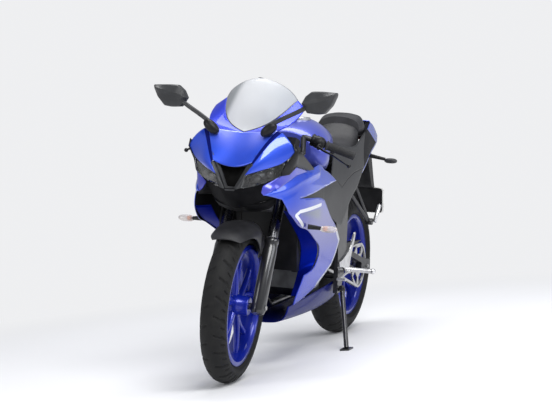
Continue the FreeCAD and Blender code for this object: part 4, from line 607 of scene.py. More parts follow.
def cover_paint():
    """Grey moulded cover with a dark seam that dips to a point, and a fainter one below it."""
    made = Finish("cover_grey_seamed", Specular_IOR_Level=0.35)
    x, z, _ = made.axes("UV")
    seam = polyline_gap(x, z, ((-0.516, 0.768), (-0.315, 0.756), (-0.200, 0.736), (-0.096, 0.706),
                               (-0.030, 0.734), (0.03, 0.752)))
    low = polyline_gap(x, z, ((-0.105, 0.690), (-0.120, 0.620), (-0.119, 0.552)))
    line = (1.0 - seam.step(0.0040, 0.0056)).most((1.0 - low.step(0.0012, 0.0026)) * 0.7)
    drift = made.noise(16.0, 3.0)
    grey = made.blend(drift.step(0.35, 0.7), (0.017, 0.0175, 0.019), (0.023, 0.024, 0.026))
    made.put("Base Color", made.blend(line, grey, (0.003, 0.003, 0.004)))
    made.put("Roughness", drift * 0.12 + 0.36)
    made.bump(seam.step(0.0, 0.004) + low.step(0.0, 0.003) * 0.5, 0.0015, 0.8)
    return made


cover_finish = cover_paint()


def cowl_paint():
    """Blue of the side cowls with a pale angular stripe and a pale rear edge, laid out in the side view, and
    painted sheen low down: a lavender grey, with darker blue toward the bottom.
    """
    made = Finish("racing_blue_side", metal=0.3, Coat_Roughness=0.04)
    x, z, _ = made.axes("UV")
    flakes = made.cells(1400.0).step(0.1, 0.7)
    drift = made.noise(6.0, 3.0)
    blue = made.blend(flakes * 0.25 + drift.step(0.35, 0.7) * 0.3, BLUE, BLUE_DEEP)
    # Painted sheen: lavender grey low on the cowl, with darker blue toward the bottom.
    low_sheen_blue = made.blend(z.step(0.36, 0.54), (0.006, 0.03, 0.46), (0.075, 0.08, 0.36))
    blue = made.blend(z.step(0.60, 0.71), low_sheen_blue, blue)
    stripe = polyline_gap(x, z, ((0.318, 0.663), (0.486, 0.655), (0.548, 0.651), (0.575, 0.638),
                                 (0.510, 0.596)))
    under_stripe = (0.655 - z + (x - 0.32) * -0.02).step(0.0, 0.01)
    over_lower_edge = 1.0 - (0.62 - z + (x - 0.32) * 0.16).step(0.0, 0.03)
    grey = under_stripe * over_lower_edge * (x - 0.26).step(0.0, 0.1) * (1.0 - (x - 0.535).step(0.0, 0.01))
    colour = made.blend(grey * 0.75, blue, (0.11, 0.14, 0.17))
    colour = made.blend(1.0 - stripe.step(0.0062, 0.0072), colour, (0.74, 0.76, 0.8))
    edge = polyline_gap(x, z, ((0.036, 0.553), (-0.064, 0.491), (-0.050, 0.430), (-0.025, 0.384),
                               (0.112, 0.317)))
    colour = made.blend((1.0 - edge.step(0.013, 0.016)) * 0.9, colour, (0.5, 0.52, 0.58))
    made.put("Base Color", colour)
    made.put("Roughness", flakes * 0.1 + 0.25)
    made.put("Coat Weight", z.step(0.42, 0.66) * 0.75 + 0.2)
    made.bump(made.noise(420.0, 1.0), 0.00004, 0.35)
    return made


side_paint = cowl_paint()


def tail_paint():
    """Blue along the blade's crest and its lower edge, black in the hollow between them."""
    made = Finish("tail_blue_and_black", metal=0.2, Coat_Roughness=0.06, Specular_IOR_Level=0.2)
    x, z, _ = made.axes("UV")
    crest = (z - ((x + 0.832) * 0.273 + 0.878)).least(z - ((x + 0.832) * 0.208 + 0.878)).step(-0.001, 0.001)
    low = polyline_gap(x, z, ((-0.526, 0.740), (-0.600, 0.768), (-0.690, 0.804), (-0.780, 0.830),
                              (-0.880, 0.850), (-0.978, 0.864)))
    blue = crest.most(1.0 - low.step(0.008, 0.010))
    flakes = made.cells(1400.0).step(0.1, 0.7)
    shade = made.blend(flakes * 0.4, BLUE, BLUE_DEEP)
    made.put("Base Color", made.blend(blue, (0.004, 0.004, 0.006), shade))
    made.put("Roughness", 0.6 - blue * 0.32)
    made.put("Coat Weight", blue * 0.9)
    return made


tail_finish = tail_paint()


def dial():
    """Dark display under a hard glossy cover."""
    made = Finish("dial_face", rough=0.12, Coat_Weight=0.6)
    glow = made.noise(22.0, 2.0)
    made.put("Base Color", made.blend(glow.step(0.4, 0.6), (0.01, 0.012, 0.014), (0.02, 0.024, 0.028)))
    return made


dial_face = dial()


# Shared forms
def mirror(points):
    """The same points on the other side of the bike."""
    return np.asarray(points, float) * np.array([1.0, -1.0, 1.0])


def facing(grid, core):
    """True where the grid's faces look toward the core and need turning round."""
    a, b, c, d = grid[:-1, :-1], grid[:-1, 1:], grid[1:, 1:], grid[1:, :-1]
    normal = np.cross(c - a, d - b)
    centre = (a + b + c + d) / 4
    return float(np.sum(normal * (centre - np.asarray(core, float)))) < 0


def skin(piece, grid, core, both=True, uv=None):
    """Adds a one-sided skin that looks away from a core point, and its mirror image."""
    grid = np.asarray(grid, float)
    piece.grid(grid, flip=facing(grid, core), uv=uv)
    if both:
        piece.grid(mirror(grid), flip=facing(mirror(grid), mirror(core)), uv=uv)


def border(grid):
    """The closed loop round a grid's four edges."""
    return np.concatenate([grid[0, :-1], grid[:-1, -1], grid[-1, :0:-1], grid[:0:-1, 0]])


def between(first, last, bulge=(0, 0, 0)):
    """Net between two edges whose ends are joined by straight lines, with a crown."""
    return coons(first, last, even([first[0], last[0]], 4), even([first[-1], last[-1]], 4), bulge)


def strip(first, last, along, across, crown=(0, 0, 0)):
    """Grid of lines from one edge to another, both spread evenly, each bent out at its middle by a crown."""
    pairs = zip(even(first, along), even(last, along))
    return np.array([even([a, (a + b) / 2 + crown, b], across) for a, b in pairs])


def drawn_in(loop, share):
    """A loop drawn toward its own middle by a share."""
    return loop + (loop.mean(0) - loop) * share


def slab(outline, layers):
    """Rings of an outline in side view, one for each (y, share) and drawn in by the share."""
    rings = []
    for y, share in layers:
        loop = drawn_in(outline, share)
        rings.append(np.column_stack([loop[:, 0], np.full(len(loop), float(y)), loop[:, 1]]))
    return np.array(rings)


def rounded(outline):
    """Outline made of runs: a smooth curve through each run's points, with corners where runs meet."""
    line = []
    for run in outline:
        run3 = np.array([(x, 0, z) for x, z in run], float)
        count = max(2, int(np.sum(np.linalg.norm(np.diff(run3, axis=0), axis=1)) / 6))
        curve = smooth_line(run3, count) if len(run) > 2 else even(run3, count)
        line.extend([(p[0], p[2]) for p in curve[:-1]])
    return np.array(line)


def cut_skin(outline, height, step=9.0):
    """Skin cut out by a side view outline: a Delaunay mesh of an even grid, raised to y = height(x, z)."""
    outline = np.asarray(outline, float)
    low, high = outline.min(0), outline.max(0)
    xs, zs = np.meshgrid(np.arange(low[0], high[0], step), np.arange(low[1], high[1], step))
    dots = np.stack([xs.ravel(), zs.ravel()], axis=1)
    start, end = outline, np.roll(outline, -1, axis=0)
    inside = np.zeros(len(dots), bool)
    near = np.full(len(dots), 1e9)
    for a, b in zip(start, end):
        crosses = (a[1] > dots[:, 1]) != (b[1] > dots[:, 1])
        with np.errstate(divide="ignore", invalid="ignore"):
            where = (b[0] - a[0]) * (dots[:, 1] - a[1]) / (b[1] - a[1]) + a[0]
        inside ^= crosses & (dots[:, 0] < where)
        way = b - a
        share = np.clip(((dots - a) @ way) / max(way @ way, 1e-9), 0, 1)
        near = np.minimum(near, np.linalg.norm(dots - a - share[:, None] * way, axis=1))
    dots = dots[inside & (near > step * 0.45)]
    every = np.concatenate([outline, dots])
    count = len(outline)
    edges = [(k, (k + 1) % count) for k in range(count)]
    made, _, faces, _, _, _ = delaunay_2d_cdt([Vector(p) for p in every], edges, [], 1, 1e-4)
    flat = np.array([tuple(p) for p in made])
    points = np.stack([flat[:, 0], height(flat[:, 0], flat[:, 1]), flat[:, 1]], axis=1)
    return points, np.array([tuple(face) for face in faces])


def add_cut(piece, outline, height, step=9.0):
    """Adds a cut skin on the left, looking outward, and its mirror image."""
    points, faces = cut_skin(outline, height, step)
    corner = points[faces]
    normal = np.cross(corner[:, 1] - corner[:, 0], corner[:, 2] - corner[:, 0])
    faces = np.where(normal[:, 1:2] < 0, faces[:, ::-1], faces)
    piece.raw(points, faces)
    piece.raw(mirror(points), faces[:, ::-1], points[:, [0, 2]] * MM)


def table_surface(xs, rows):
    """Height y(x, z) of the tensor B-spline over a table of rows (z, y at each x), read from a fine grid."""
    net = np.array([[(x, y, z) for x, y in zip(xs, row)] for z, row in rows], float)
    fine = patch(net, 161, 161)
    grid_z = fine[:, 0, 2]
    grid_x = fine[0, :, 0]

    def height(x, z):
        """Height between the fine grid's four points round (x, z), weighted straight."""
        v = np.interp(x, grid_x, np.arange(161.0))
        u = np.interp(z, grid_z, np.arange(161.0))
        i, j = np.minimum(u.astype(int), 159), np.minimum(v.astype(int), 159)
        a, b = u - i, v - j
        y = fine[..., 1]
        near = y[i, j] * (1 - a) * (1 - b) + y[i + 1, j] * a * (1 - b)
        return near + y[i, j + 1] * (1 - a) * b + y[i + 1, j + 1] * a * b

    return height


def section_loft(stations, around=64, along=90):
    """Closed body through sections (x, left half as (y, z)), smooth round each of them and along x."""
    rings = []
    for x, half in stations:
        left = [(x, y, z) for y, z in half]
        right = [(x, -y, z) for y, z in reversed(half[1:-1])]
        rings.append(smooth_line(left + right, around, closed=True))
    rings = np.array(rings)
    return np.stack([smooth_line(rings[:, k], along) for k in range(around)], axis=1)


def rod(piece, start, end, radius, around=24):
    """Round bar between two points, with small chamfered ends."""
    start, end = np.asarray(start, float), np.asarray(end, float)
    way = (end - start) / np.linalg.norm(end - start)
    up = (0, 0, 1) if abs(way[2]) < 0.9 else (1, 0, 0)
    edge = min(1.2, radius * 0.25, np.linalg.norm(end - start) * 0.2)
    path = np.array([start, start + way * edge, end - way * edge, end])
    near = radius - edge * 0.7
    piece.grid(swept(path, ring_profile(1.0, around), [near, radius, radius, near], up), tube=True, caps=True)


def pipe(piece, path, radius, around=20, count=60):
    """Round pipe along a smooth curve through the points."""
    piece.grid(swept(smooth_line(path, count), ring_profile(radius, around)), tube=True, caps=True)


def oval(piece, centre, half, power=2.0, around=32, rings=20, both=False):
    """Rounded egg |x/a|^p + |y/b|^p + |z/c|^p = 1 about a centre."""
    turns = np.linspace(0, 2 * math.pi, around, endpoint=False)[None]
    rise = np.linspace(-math.pi / 2 + 0.05, math.pi / 2 - 0.05, rings)[:, None]
    parts = [np.cos(rise) * np.cos(turns), np.sin(rise) + 0 * turns, np.cos(rise) * np.sin(turns)]
    way = np.stack(parts, axis=2)
    size = np.sum(np.abs(way) ** power, axis=2, keepdims=True) ** (-1 / power)
    grid = np.asarray(centre, float) + way * size * np.asarray(half, float)
    piece.grid(grid, tube=True, caps=True, both=both)


# Nose
CORE = (440, 0, 880)
HOOD_FRONT = [(729, 0, 815), (729, 26, 815), (731, 52, 822), (733, 77, 836)]
HOOD_REAR = [(628, 0, 940), (628, 26, 940), (634, 74, 946), (644, 138, 952)]
HOOD_MIDDLE = [(707, 0, 849), (684, 0, 881), (657, 0, 912)]
LIP = [(733, 77, 836), (714, 91, 868), (692, 106, 900), (667, 123, 930), (644, 138, 952)]
GROOVE = [(738, 82, 826), (720, 99, 858), (698, 116, 890), (670, 136, 922), (640, 156, 946)]
SCREEN_LINE = [(628, 0, 940), (604, 64, 956), (548, 112, 1000), (496, 131, 1035), (444, 144, 1064)]
WING_LINE = [(644, 138, 952), (604, 154, 964), (570, 164, 974), (520, 182, 1004), (461, 182, 1033)]
BROW_EDGE = [(753, 58, 788), (728, 103, 804), (694, 143, 820), (655, 184, 838), (642, 213, 878)]
BROW_REAR = [(640, 156, 946), (646, 180, 930), (648, 202, 904), (642, 213, 878)]


def hood_net():
    """Poles of the hood's left half, from the V's top edge back to the screen."""
    net = [HOOD_FRONT]
    for centre, edge in zip(HOOD_MIDDLE, LIP[1:-1]):
        flat = (centre[0], 26, centre[2])
        halfway = (np.array(flat) + edge) * 0.5 + (6, 4, 6)
        net.append([centre, flat, tuple(halfway), edge])
    net.append(HOOD_REAR)
    return net


def brow_net():
    """Poles of the brow over the lamp, from the groove down to its edge."""
    net = [even([GROOVE[0], BROW_EDGE[0]], 4)]
    for top, low in zip(GROOVE[1:-1], BROW_EDGE[1:-1]):
        row = even([top, low], 4)
        net.append([row[0], row[1] + (8, 8, 2), row[2] + (9, 9, 2), row[3]])
    net.append(np.array(BROW_REAR, float))
    return net


nose = Piece("Nose_cowl")
nose_finishes = [paint, shade_blue_paint, wing_sheen_paint, hood_highlight_paint]
wing_end = even([SCREEN_LINE[-1], WING_LINE[-1]], 4)
# The groove between the hood and the brow takes the dark navy blue: painted shade in the crease.
groove_net = [[lip, low] for lip, low in zip(LIP, GROOVE)]
for finish, grid in (
        (hood_highlight_paint, patch(hood_net(), 48, 28)),
        (wing_sheen_paint, patch(coons(HOOD_REAR, wing_end, SCREEN_LINE, WING_LINE, (2, 6, 5)), 60, 24)),
        (paint, patch(brow_net(), 48, 30)), (shade_blue_paint, patch(groove_net, 48, 6))):
    nose.slot = nose_finishes.index(finish)
    skin(nose, grid, CORE)
nose.make(nose_finishes, "chassis", ["nose_cowl"], wall=3, weld=0.05, sharp=28)

base_left = np.array(SCREEN_LINE, float) + (0.5, 0, 0.9)
SCREEN_TOP = [(444.5, 144, 1064.9), (452, 130, 1090), (459, 96, 1116), (471, 40, 1141), (476, 0, 1142)]
screen_net = coons(base_left, mirror(SCREEN_TOP), mirror(base_left), SCREEN_TOP, (26, 0, 30))
screen = Piece("Windscreen")
screen_grid = patch(screen_net, 90, 90)
screen_uv = np.stack(np.meshgrid(np.linspace(0, 1, 90), np.linspace(0, 1, 90), indexing="ij"), axis=2)
screen.grid(screen_grid, flip=facing(screen_grid, (300, 0, 900)), uv=screen_uv)
screen.make([glass_screen], "chassis", ["windscreen"], wall=3)

LAMP_TOP = [(751, 57, 785), (725, 103, 802), (689, 145, 819), (655, 180, 835)]
LAMP_LOW = [(748, 42, 738), (724, 76, 742), (700, 112, 756), (669, 166, 784)]
lamp_face = patch(between(LAMP_TOP, LAMP_LOW, (5, 4, 0)), 24, 48)
lenses = Piece("Headlamp_lenses")
skin(lenses, lamp_face, CORE)
lenses.make([glass_lens], "chassis", ["headlamp_lenses"], wall=2.5)


def sunk(grid, depth, shrink):
    """The grid moved toward the nose's core by a depth, and drawn in toward its own middle by a share."""
    drawn = grid + (grid.reshape(-1, 3).mean(0) - grid) * shrink
    way = np.asarray(CORE, float) - drawn
    return drawn + way / np.linalg.norm(way, axis=2, keepdims=True) * depth


buckets = Piece("Headlamp_buckets")
BOWL = ((3.2, 0.0), (3.2, 0.045), (14, 0.07), (30, 0.16), (44, 0.3))
bowl = [border(sunk(lamp_face, depth, shrink)) for depth, shrink in BOWL]
bowl += [drawn_in(bowl[-1], 0.6), drawn_in(bowl[-1], 0.98)]
buckets.grid(np.array(bowl), tube=True, both=True)
buckets.slot = 1
PROJECTORS = (((704, 86, 772), 17, 13), ((676, 128, 792), 15, 11.5))
beads = Piece("Headlamp_projectors")
way = np.array([42, 16, -4.0]) / 45.1  # the way the left projectors look
for centre, outer, inner in PROJECTORS:
    for _, sign in SIDES:
        rod(buckets, (centre - way * 30) * (1, sign, 1), (centre - way * 3) * (1, sign, 1), outer, 32)
    oval(beads, np.array(centre) - (3, 1, 0), (8, inner, inner), both=True)
buckets.make([dark_reflector, gloss_black], "chassis", ["headlamp_buckets"], wall=1.2,
             closed=True)
beads.make([glass_lens], "chassis", ["headlamp_buckets"], closed=True)

intake_rows = []
for share in (0.0, 0.34, 0.67, 1.0):
    half_width, height = 71.5 * (1 - share) + 20 * share, 834 * (1 - share) + 731 * share
    sag, front = 18 * (1 - share), 728 * (1 - share) + 748 * share
    hollow = 26 * (1 - 0.5 * share)
    intake_rows.append([(front - hollow * (1 - s * s) - 8, half_width * s, height - sag * (1 - abs(s)))
                        for s in (1.0, 0.5, 0.0, -0.5, -1.0)])
intake_face = patch(intake_rows, 40, 60) + (-4, 0, 0)
trim = Piece("Nose_trim")
trim_finishes = [gloss_black, intake_mesh, mirror_grey, lining_black]
trim.slot = trim_finishes.index(intake_mesh)
trim.grid(intake_face, flip=facing(intake_face, CORE))

trim.slot = trim_finishes.index(mirror_grey)
rim_loop = border(intake_face)
rim_middle = rim_loop.mean(0)
rim_loop = drawn_in(rim_loop, 0.045) + (3, 0, 0)
RIM_STEPS = ((0.0, 0), (0.0, 5), (0.07, 6.5), (0.16, 2), (0.16, -4))
rim_rows = [rim_loop + (rim_middle - rim_loop) * share + (ahead, 0, 0) for share, ahead in RIM_STEPS]
trim.grid(rim_rows, tube=True, flip=True)
V_IN = [(727, 71, 831), (734, 59, 808), (740, 46, 784), (746, 33, 758), (749, 20, 733)]
V_OUT = [(739, 83, 826), (745, 70, 805), (750, 59, 785), (750, 50, 760), (749, 42, 738)]
skin(trim, strip(V_IN, V_OUT, 24, 6, (3, 0, 0)), CORE)
v_foot = [[(750, 20 * s, 733), (751, 20 * s, 730), (748, 18 * s, 727)] for s in (1.0, 0.34, -0.34, -1.0)]
skin(trim, v_foot, CORE, both=False)

trim.slot = trim_finishes.index(lining_black)
CHIN_CORE = (440, 0, 800)
LIP_CORE = (620, 0, 760)
chin_top = np.array(LAMP_LOW, float) + (-0.5, 0, -0.8)
CHIN_LOW = [(690, 24, 668), (676, 60, 672), (650, 100, 684), (612, 128, 706)]
LIP_BACK = [(604, 24, 640), (600, 60, 644), (594, 100, 656), (586, 126, 680)]
skin(trim, patch(between(chin_top, CHIN_LOW), 30, 40), CHIN_CORE)
middle_rows = [[(x, y, z), (x + 4, y / 2, z - 4), (x + 4, -y / 2, z - 4), (x, -y, z)]
               for x, y, z in even([chin_top[0], CHIN_LOW[0]], 4)]
skin(trim, patch(middle_rows, 30, 24), CHIN_CORE, both=False)
skin(trim, strip(CHIN_LOW, LIP_BACK, 16, 5), LIP_CORE)
skin(trim, [[(690, y, 668), (604, y, 640)] for y in (24.0, 8.0, -8.0, -24.0)], LIP_CORE, both=False)

trim.slot = trim_finishes.index(gloss_black)
CORNER = np.array([(650, 204, 906), (598, 214, 893), (594, 214, 878), (434, 218, 806), (484, 212, 803),
                   (600, 204, 822), (658, 183, 834), (648, 210.5, 878), (670, 165, 787), (628, 186, 792)])
CORNER_FACES = np.array([(0, 7, 1), (1, 7, 2), (7, 6, 5), (7, 5, 2),
                         (2, 5, 4), (2, 4, 3), (6, 8, 5), (8, 9, 5)])
trim.raw(CORNER, CORNER_FACES[:, ::-1])
trim.raw(mirror(CORNER), CORNER_FACES, CORNER[:, [0, 2]] * MM)
trim.make(trim_finishes, "chassis", ["nose_trim"], wall=2.5, weld=0.05, sharp=30)

# Side cowls and belly pan
SIDE_X = (-130, 20, 170, 310, 430, 540, 640, 740)
SIDE_TABLE = (
    (230, (110, 116, 120, 120, 108, 96, 86, 80)), (300, (130, 136, 142, 146, 138, 124, 108, 92)),
    (370, (152, 159, 164, 166, 156, 142, 124, 100)), (450, (170, 177, 183, 187, 180, 163, 140, 110)),
    (530, (182, 190, 197, 204, 204, 190, 162, 120)), (595, (188, 197, 205, 213, 219, 212, 180, 130)),
    (650, (190, 199, 207, 216, 221, 216, 192, 138)), (700, (189, 199, 207, 216, 221, 215, 188, 132)),
    (750, (186, 197, 205, 214, 219, 211, 178, 124)), (800, (181, 193, 201, 210, 214, 203, 166, 112)),
    (850, (175, 187, 196, 204, 208, 190, 150, 100)))
side_y = table_surface(SIDE_X, SIDE_TABLE)
RIDGE = ((712, 722), (650, 733), (600, 746), (540, 765), (440, 783), (350, 792))


def ridged_side(x, z):
    """The side cowls' height with a rounded ridge: y + 5 exp(-(d / 11)^2), d the gap to the ridge's line."""
    dots = np.stack([x, z], axis=1)
    near = np.full(len(x), 1e9)
    for a, b in zip(np.array(RIDGE[:-1], float), np.array(RIDGE[1:], float)):
        way = b - a
        share = np.clip(((dots - a) @ way) / (way @ way), 0, 1)
        near = np.minimum(near, np.linalg.norm(dots - a - share[:, None] * way, axis=1))
    return side_y(x, z) + 5 * np.exp(-(near / 11) ** 2)


COWL = [
    [(736, 719), (620, 768), (520, 804)], [(520, 804), (437, 806)],
    [(437, 806), (330, 818), (270, 796), (200, 780), (84, 744)], [(84, 744), (314, 725)],
    [(314, 725), (553, 701)], [(553, 701), (430, 696), (330, 690), (268, 678)],
    [(268, 678), (156, 608), (36, 553), (-64, 491)],
    [(-64, 491), (-50, 430), (-25, 384)], [(-25, 384), (112, 317), (240, 283), (340, 262)],
    [(340, 262), (350, 300), (339, 383)], [(339, 383), (241, 404), (217, 451)],
    [(217, 451), (250, 492), (335, 527), (450, 572), (540, 595), (621, 648)], [(621, 648), (655, 700)],
    [(655, 700), (736, 719)]]
cowls = Piece("Side_cowls")
add_cut(cowls, rounded(COWL), ridged_side, 7.0)
cowls.make([side_paint, lining_black], "chassis", ["side_cowls"], wall=3, sharp=30, lined=True)

FACET_TOP = [(731, 118, 727), (704, 112, 751), (684, 141, 769), (669, 165, 785), (600, 203, 821),
             (500, 208, 803)]
FACET_LOW = [(734, 129, 717), (704, 146, 730), (668, 166, 743), (620, 181, 764), (562, 196, 787),
             (486, 208, 799)]
# The facets wear the lavender blue of painted sheen.
facets = Piece("Cowl_facets")
skin(facets, strip(FACET_TOP, FACET_LOW, 30, 8), (500, 0, 700))
facets.make([sheen_blue_paint, lining_black], "chassis", ["side_cowls"], wall=3, sharp=30, lined=True)


def behind_notch(x, z):
    """Height of the face behind the cowl's notch: 4.6 mm inside the cowl."""
    return side_y(x, z) - 4.6


def polygon(*corners):
    """Outline with straight sides, as runs between its corners."""
    return [[a, b] for a, b in zip(corners, corners[1:] + corners[:1])]


NOTCH = polygon((262, 740), (330, 740), (578, 712), (578, 690), (430, 682), (330, 676), (262, 666))
backing = Piece("Cowl_backing")
add_cut(backing, rounded(NOTCH), behind_notch)
backing.make([cover_finish], "chassis", ["side_cowls"], wall=2)

FLANK_OUTER = [(338, 300), (330, 376), (236, 398), (212, 452), (250, 498), (335, 532), (450, 578), (536, 600),
               (612, 648)]
FLANK_INNER = [(330, 112, 296), (300, 116, 345), (262, 118, 392), (262, 124, 440), (290, 134, 480),
               (340, 142, 520), (420, 150, 560), (490, 152, 600), (560, 146, 650)]
flank_x, flank_z = np.array(FLANK_OUTER, float).T
flank_outer = np.column_stack([flank_x, side_y(flank_x, flank_z) - 3.4, flank_z])
flank_net = coons(even(flank_outer, 9), even(FLANK_INNER, 9), even([flank_outer[0], FLANK_INNER[0]], 4),
                  even([flank_outer[-1], FLANK_INNER[-1]], 4), (-6, 0, 0))
flanks = Piece("Cowl_flanks")
skin(flanks, patch(flank_net, 24, 90), (0, 130, 500))
flanks.make([inner_shade_blue, lining_black], "chassis", ["side_cowls"], wall=3, lined=True)

belly_rows = []
for x, half in ((350, ((110, 255), (106, 228), (92, 196), (44, 184))),
                (200, ((122, 272), (119, 236), (104, 192), (50, 180))),
                (20, ((125, 284), (122, 240), (107, 190), (50, 178))),
                (-140, ((125, 292), (121, 242), (106, 192), (50, 182))),
                (-258, ((122, 305), (118, 252), (104, 208), (50, 194)))):
    belly_rows.append([(x, y, z) for y, z in half] + [(x, -y, z) for y, z in reversed(half)])
# The belly pan takes the dark navy blue: painted shade under the bike.
belly = Piece("Belly_pan")
skin(belly, patch(belly_rows, 70, 70), (30, 0, 330), both=False)
belly.make([shade_blue_paint], "chassis", ["belly_pan"], wall=3.5)

# Seats, side covers and tail
SEAT = (
    (-200, ((0, 800), (44, 800), (68, 812), (74, 850), (64, 888), (36, 903), (0, 908))),
    (-262, ((0, 776), (66, 776), (98, 792), (108, 832), (94, 874), (50, 888), (0, 891))),
    (-350, ((0, 762), (76, 762), (116, 780), (126, 822), (110, 862), (56, 876), (0, 878))),
    (-450, ((0, 768), (68, 768), (106, 788), (116, 836), (102, 882), (54, 896), (0, 898))),
    (-535, ((0, 808), (54, 808), (84, 830), (98, 880), (88, 930), (46, 950), (0, 955))))
PILLION = (
    (-540, ((0, 884), (48, 884), (82, 898), (96, 930), (86, 962), (44, 980), (0, 984))),
    (-600, ((0, 892), (50, 892), (88, 908), (102, 942), (84, 984), (42, 998), (0, 1001))),
    (-680, ((0, 896), (45, 896), (72, 912), (78, 942), (62, 974), (32, 987), (0, 989))),
    (-738, ((0, 906), (30, 906), (48, 918), (52, 936), (42, 954), (20, 962), (0, 964))))
for name, stations, node in (("Rider_seat", SEAT, "rider_seat"), ("Pillion_seat", PILLION, "pillion_seat")):
    seat = Piece(name)
    seat.grid(section_loft(stations), tube=True, caps=True)
    seat.make([seat_cover], "chassis", [node], closed=True, bevel=5)


COVER_X = (-560, -330, -120, 60, 240, 420)
COVER_TABLE = (
    (500, (130, 158, 166, 176, 190, 196)), (640, (132, 160, 168, 181, 196, 202)),
    (720, (132, 158, 167, 180, 194, 200)), (800, (134, 150, 156, 166, 182, 188)),
    (870, (136, 142, 140, 150, 168, 174)), (940, (136, 138, 132, 140, 156, 162)))
COVER = [
    [(300, 722), (80, 748)], [(80, 748), (44, 790), (-40, 872)],
    [(-40, 872), (-150, 874), (-260, 866), (-360, 870), (-440, 898), (-505, 922)],
    [(-505, 922), (-492, 845), (-515, 768)], [(-515, 768), (-380, 690)],
    [(-380, 690), (-250, 640), (-119, 545)],
    [(-119, 545), (-40, 560), (60, 590), (150, 622), (250, 684)], [(250, 684), (300, 722)]]
covers = Piece("Side_covers")
add_cut(covers, rounded(COVER), table_surface(COVER_X, COVER_TABLE))
covers.make([cover_finish], "chassis", ["side_covers"], wall=3)


def under_tank(x, z):
    """Height of the black sheet between the tank and the side cover, a leaning plane: painted shade that
    stands for the dark inner parts seen in the gap.
    """
    return 118.0 + (x - 20) * 0.05 + (800 - z) * 0.1


GAP_SHEET = polygon((150, 735), (120, 800), (-130, 800), (-140, 700), (150, 690))
gap_sheet = Piece("Gap_shade_sheet")
add_cut(gap_sheet, rounded(GAP_SHEET), under_tank, 14.0)
gap_sheet.make([lining_black], "chassis", ["side_covers"], wall=2)

BLADE_TOP = [(-518, 124, 912), (-600, 116, 924), (-690, 100, 940), (-762, 82, 968), (-880, 70, 936),
             (-985, 56, 892)]
BLADE_LOW = [(-526, 126, 740), (-600, 120, 768), (-690, 106, 804), (-780, 94, 830), (-880, 80, 850),
             (-978, 58, 864)]
BLADE_WALL = 3.4
tail = Piece("Tail_cowls")
tail_finishes = [tail_finish, paint, lining_black]
skin(tail, patch(between(BLADE_TOP, BLADE_LOW, (0, 8, 0)), 24, 90), (-700, 0, 850))
tail.slot = tail_finishes.index(paint)
across = [[(x, (y - BLADE_WALL) * s, z - 2 + 4 * (1 - s * s)) for x, y, z in BLADE_TOP[3:]]
          for s in (1.0, 0.34, -0.34, -1.0)]
skin(tail, patch(across, 40, 40), (-850, 0, 700), both=False)
tail.slot = tail_finishes.index(lining_black)
shelf = [[(x, (y - BLADE_WALL) * s, z - 6 - 22 * (1 - s)) for x, y, z in BLADE_TOP[:4]]
         for s in (1.0, 0.86, 0.72)]
skin(tail, patch(shelf, 12, 30), (-650, 0, 700))
tail.make(tail_finishes, "chassis", ["tail_cowls"], wall=3)

tail_lamp = Piece("Tail_lamp")
lamp_path = [(-956, 0, 879), (-962, 0, 879), (-978, 0, 879), (-983, 0, 879)]
lamp_section = ring_profile(1.0, 32, 1.0, 5.0) * (46, 9)
tail_lamp.grid(swept(lamp_path, lamp_section, (1, 1, 1, 0.86)), tube=True, caps=True)
tail_lamp.make([red_lens], "chassis", ["tail_lamp"], closed=True)

# Tail tray and plate
TRAY_INSET = 5.0
tray_net = [[(x, (y - TRAY_INSET) * s, z - 6) for x, y, z in BLADE_LOW[1:]] for s in (1.0, 0.34, -0.34, -1.0)]
rear_fender = Piece("Rear_fender")
skin(rear_fender, patch(tray_net, 30, 50), (-750, 0, 900), both=False)
rear_fender.make([satin_black], "chassis", ["rear_fender"], wall=3)
holder = Piece("Plate_holder")
ARM = [(-800, 831), (-900, 846), (-930, 820), (-1008, 660), (-1022, 640), (-1000, 636), (-960, 660),
       (-880, 780)]
arm_line = rounded([ARM[:5], ARM[4:6], ARM[5:] + ARM[:1]])
holder.grid(slab(arm_line, ((-46, 0.06), (-43, 0.0), (43, 0.0), (46, 0.06))), tube=True, caps=True)
PLATE = shift(-1013, 0, 584) @ turn("Y", math.radians(8))


def board(piece, place, centre, half, corner=6.0, bead=1.0):
    """Plate with rounded corners and edges: rings across X of a rounded rectangle |y/b|^p + |z/c|^p = 1."""
    power = 2 + 12 * (1 - min(1.0, corner / min(half[1], half[2])))
    rings = []
    edge = half[0] - bead * 0.6
    for x, grow in ((-half[0], -bead), (-edge, 0), (edge, 0), (half[0], -bead)):
        loop = ring_profile(1.0, 64, 1.0, power) * (half[1] + grow, half[2] + grow)
        rings.append(np.column_stack([np.full(64, x), loop]) + centre)
    rings = np.array(rings)
    piece.grid(rings @ place[:3, :3].T + place[:3, 3], tube=True, caps=True)


board(holder, PLATE, (0, 0, 0), (2.5, 88, 59), 8)
holder.make([satin_black], "chassis", ["rear_fender"], closed=True, sharp=30)
plate = Piece("Blank_plate")
board(plate, PLATE, (-4, 0, 0), (1.0, 95, 62), 9, 0.5)
for y in (-70, 70):
    ring = lathe([(0.5, 0), (5, 0), (5.5, 1.0), (5.5, 2.4), (3, 3.4), (0.5, 3.4)], 20)
    screw = np.stack([-5 - ring[..., 1], y + ring[..., 0], 40 + ring[..., 2]], axis=2)
    plate.slot = 1
    plate.grid(screw @ PLATE[:3, :3].T + PLATE[:3, 3], ring=True)
plate.make([plate_white, silver], "chassis", ["blank_plate"], closed=True)

# Wheels
def mirrored_profile(points):
    """The same (radius, along) points at the other end, in their order."""
    return [(radius, -along) for radius, along in points]


def ramp(values, start, width):
    """Straight ramp from 0 at the start to 1 a width further on, held there."""
    return np.clip((values - start) / width, 0, 1)


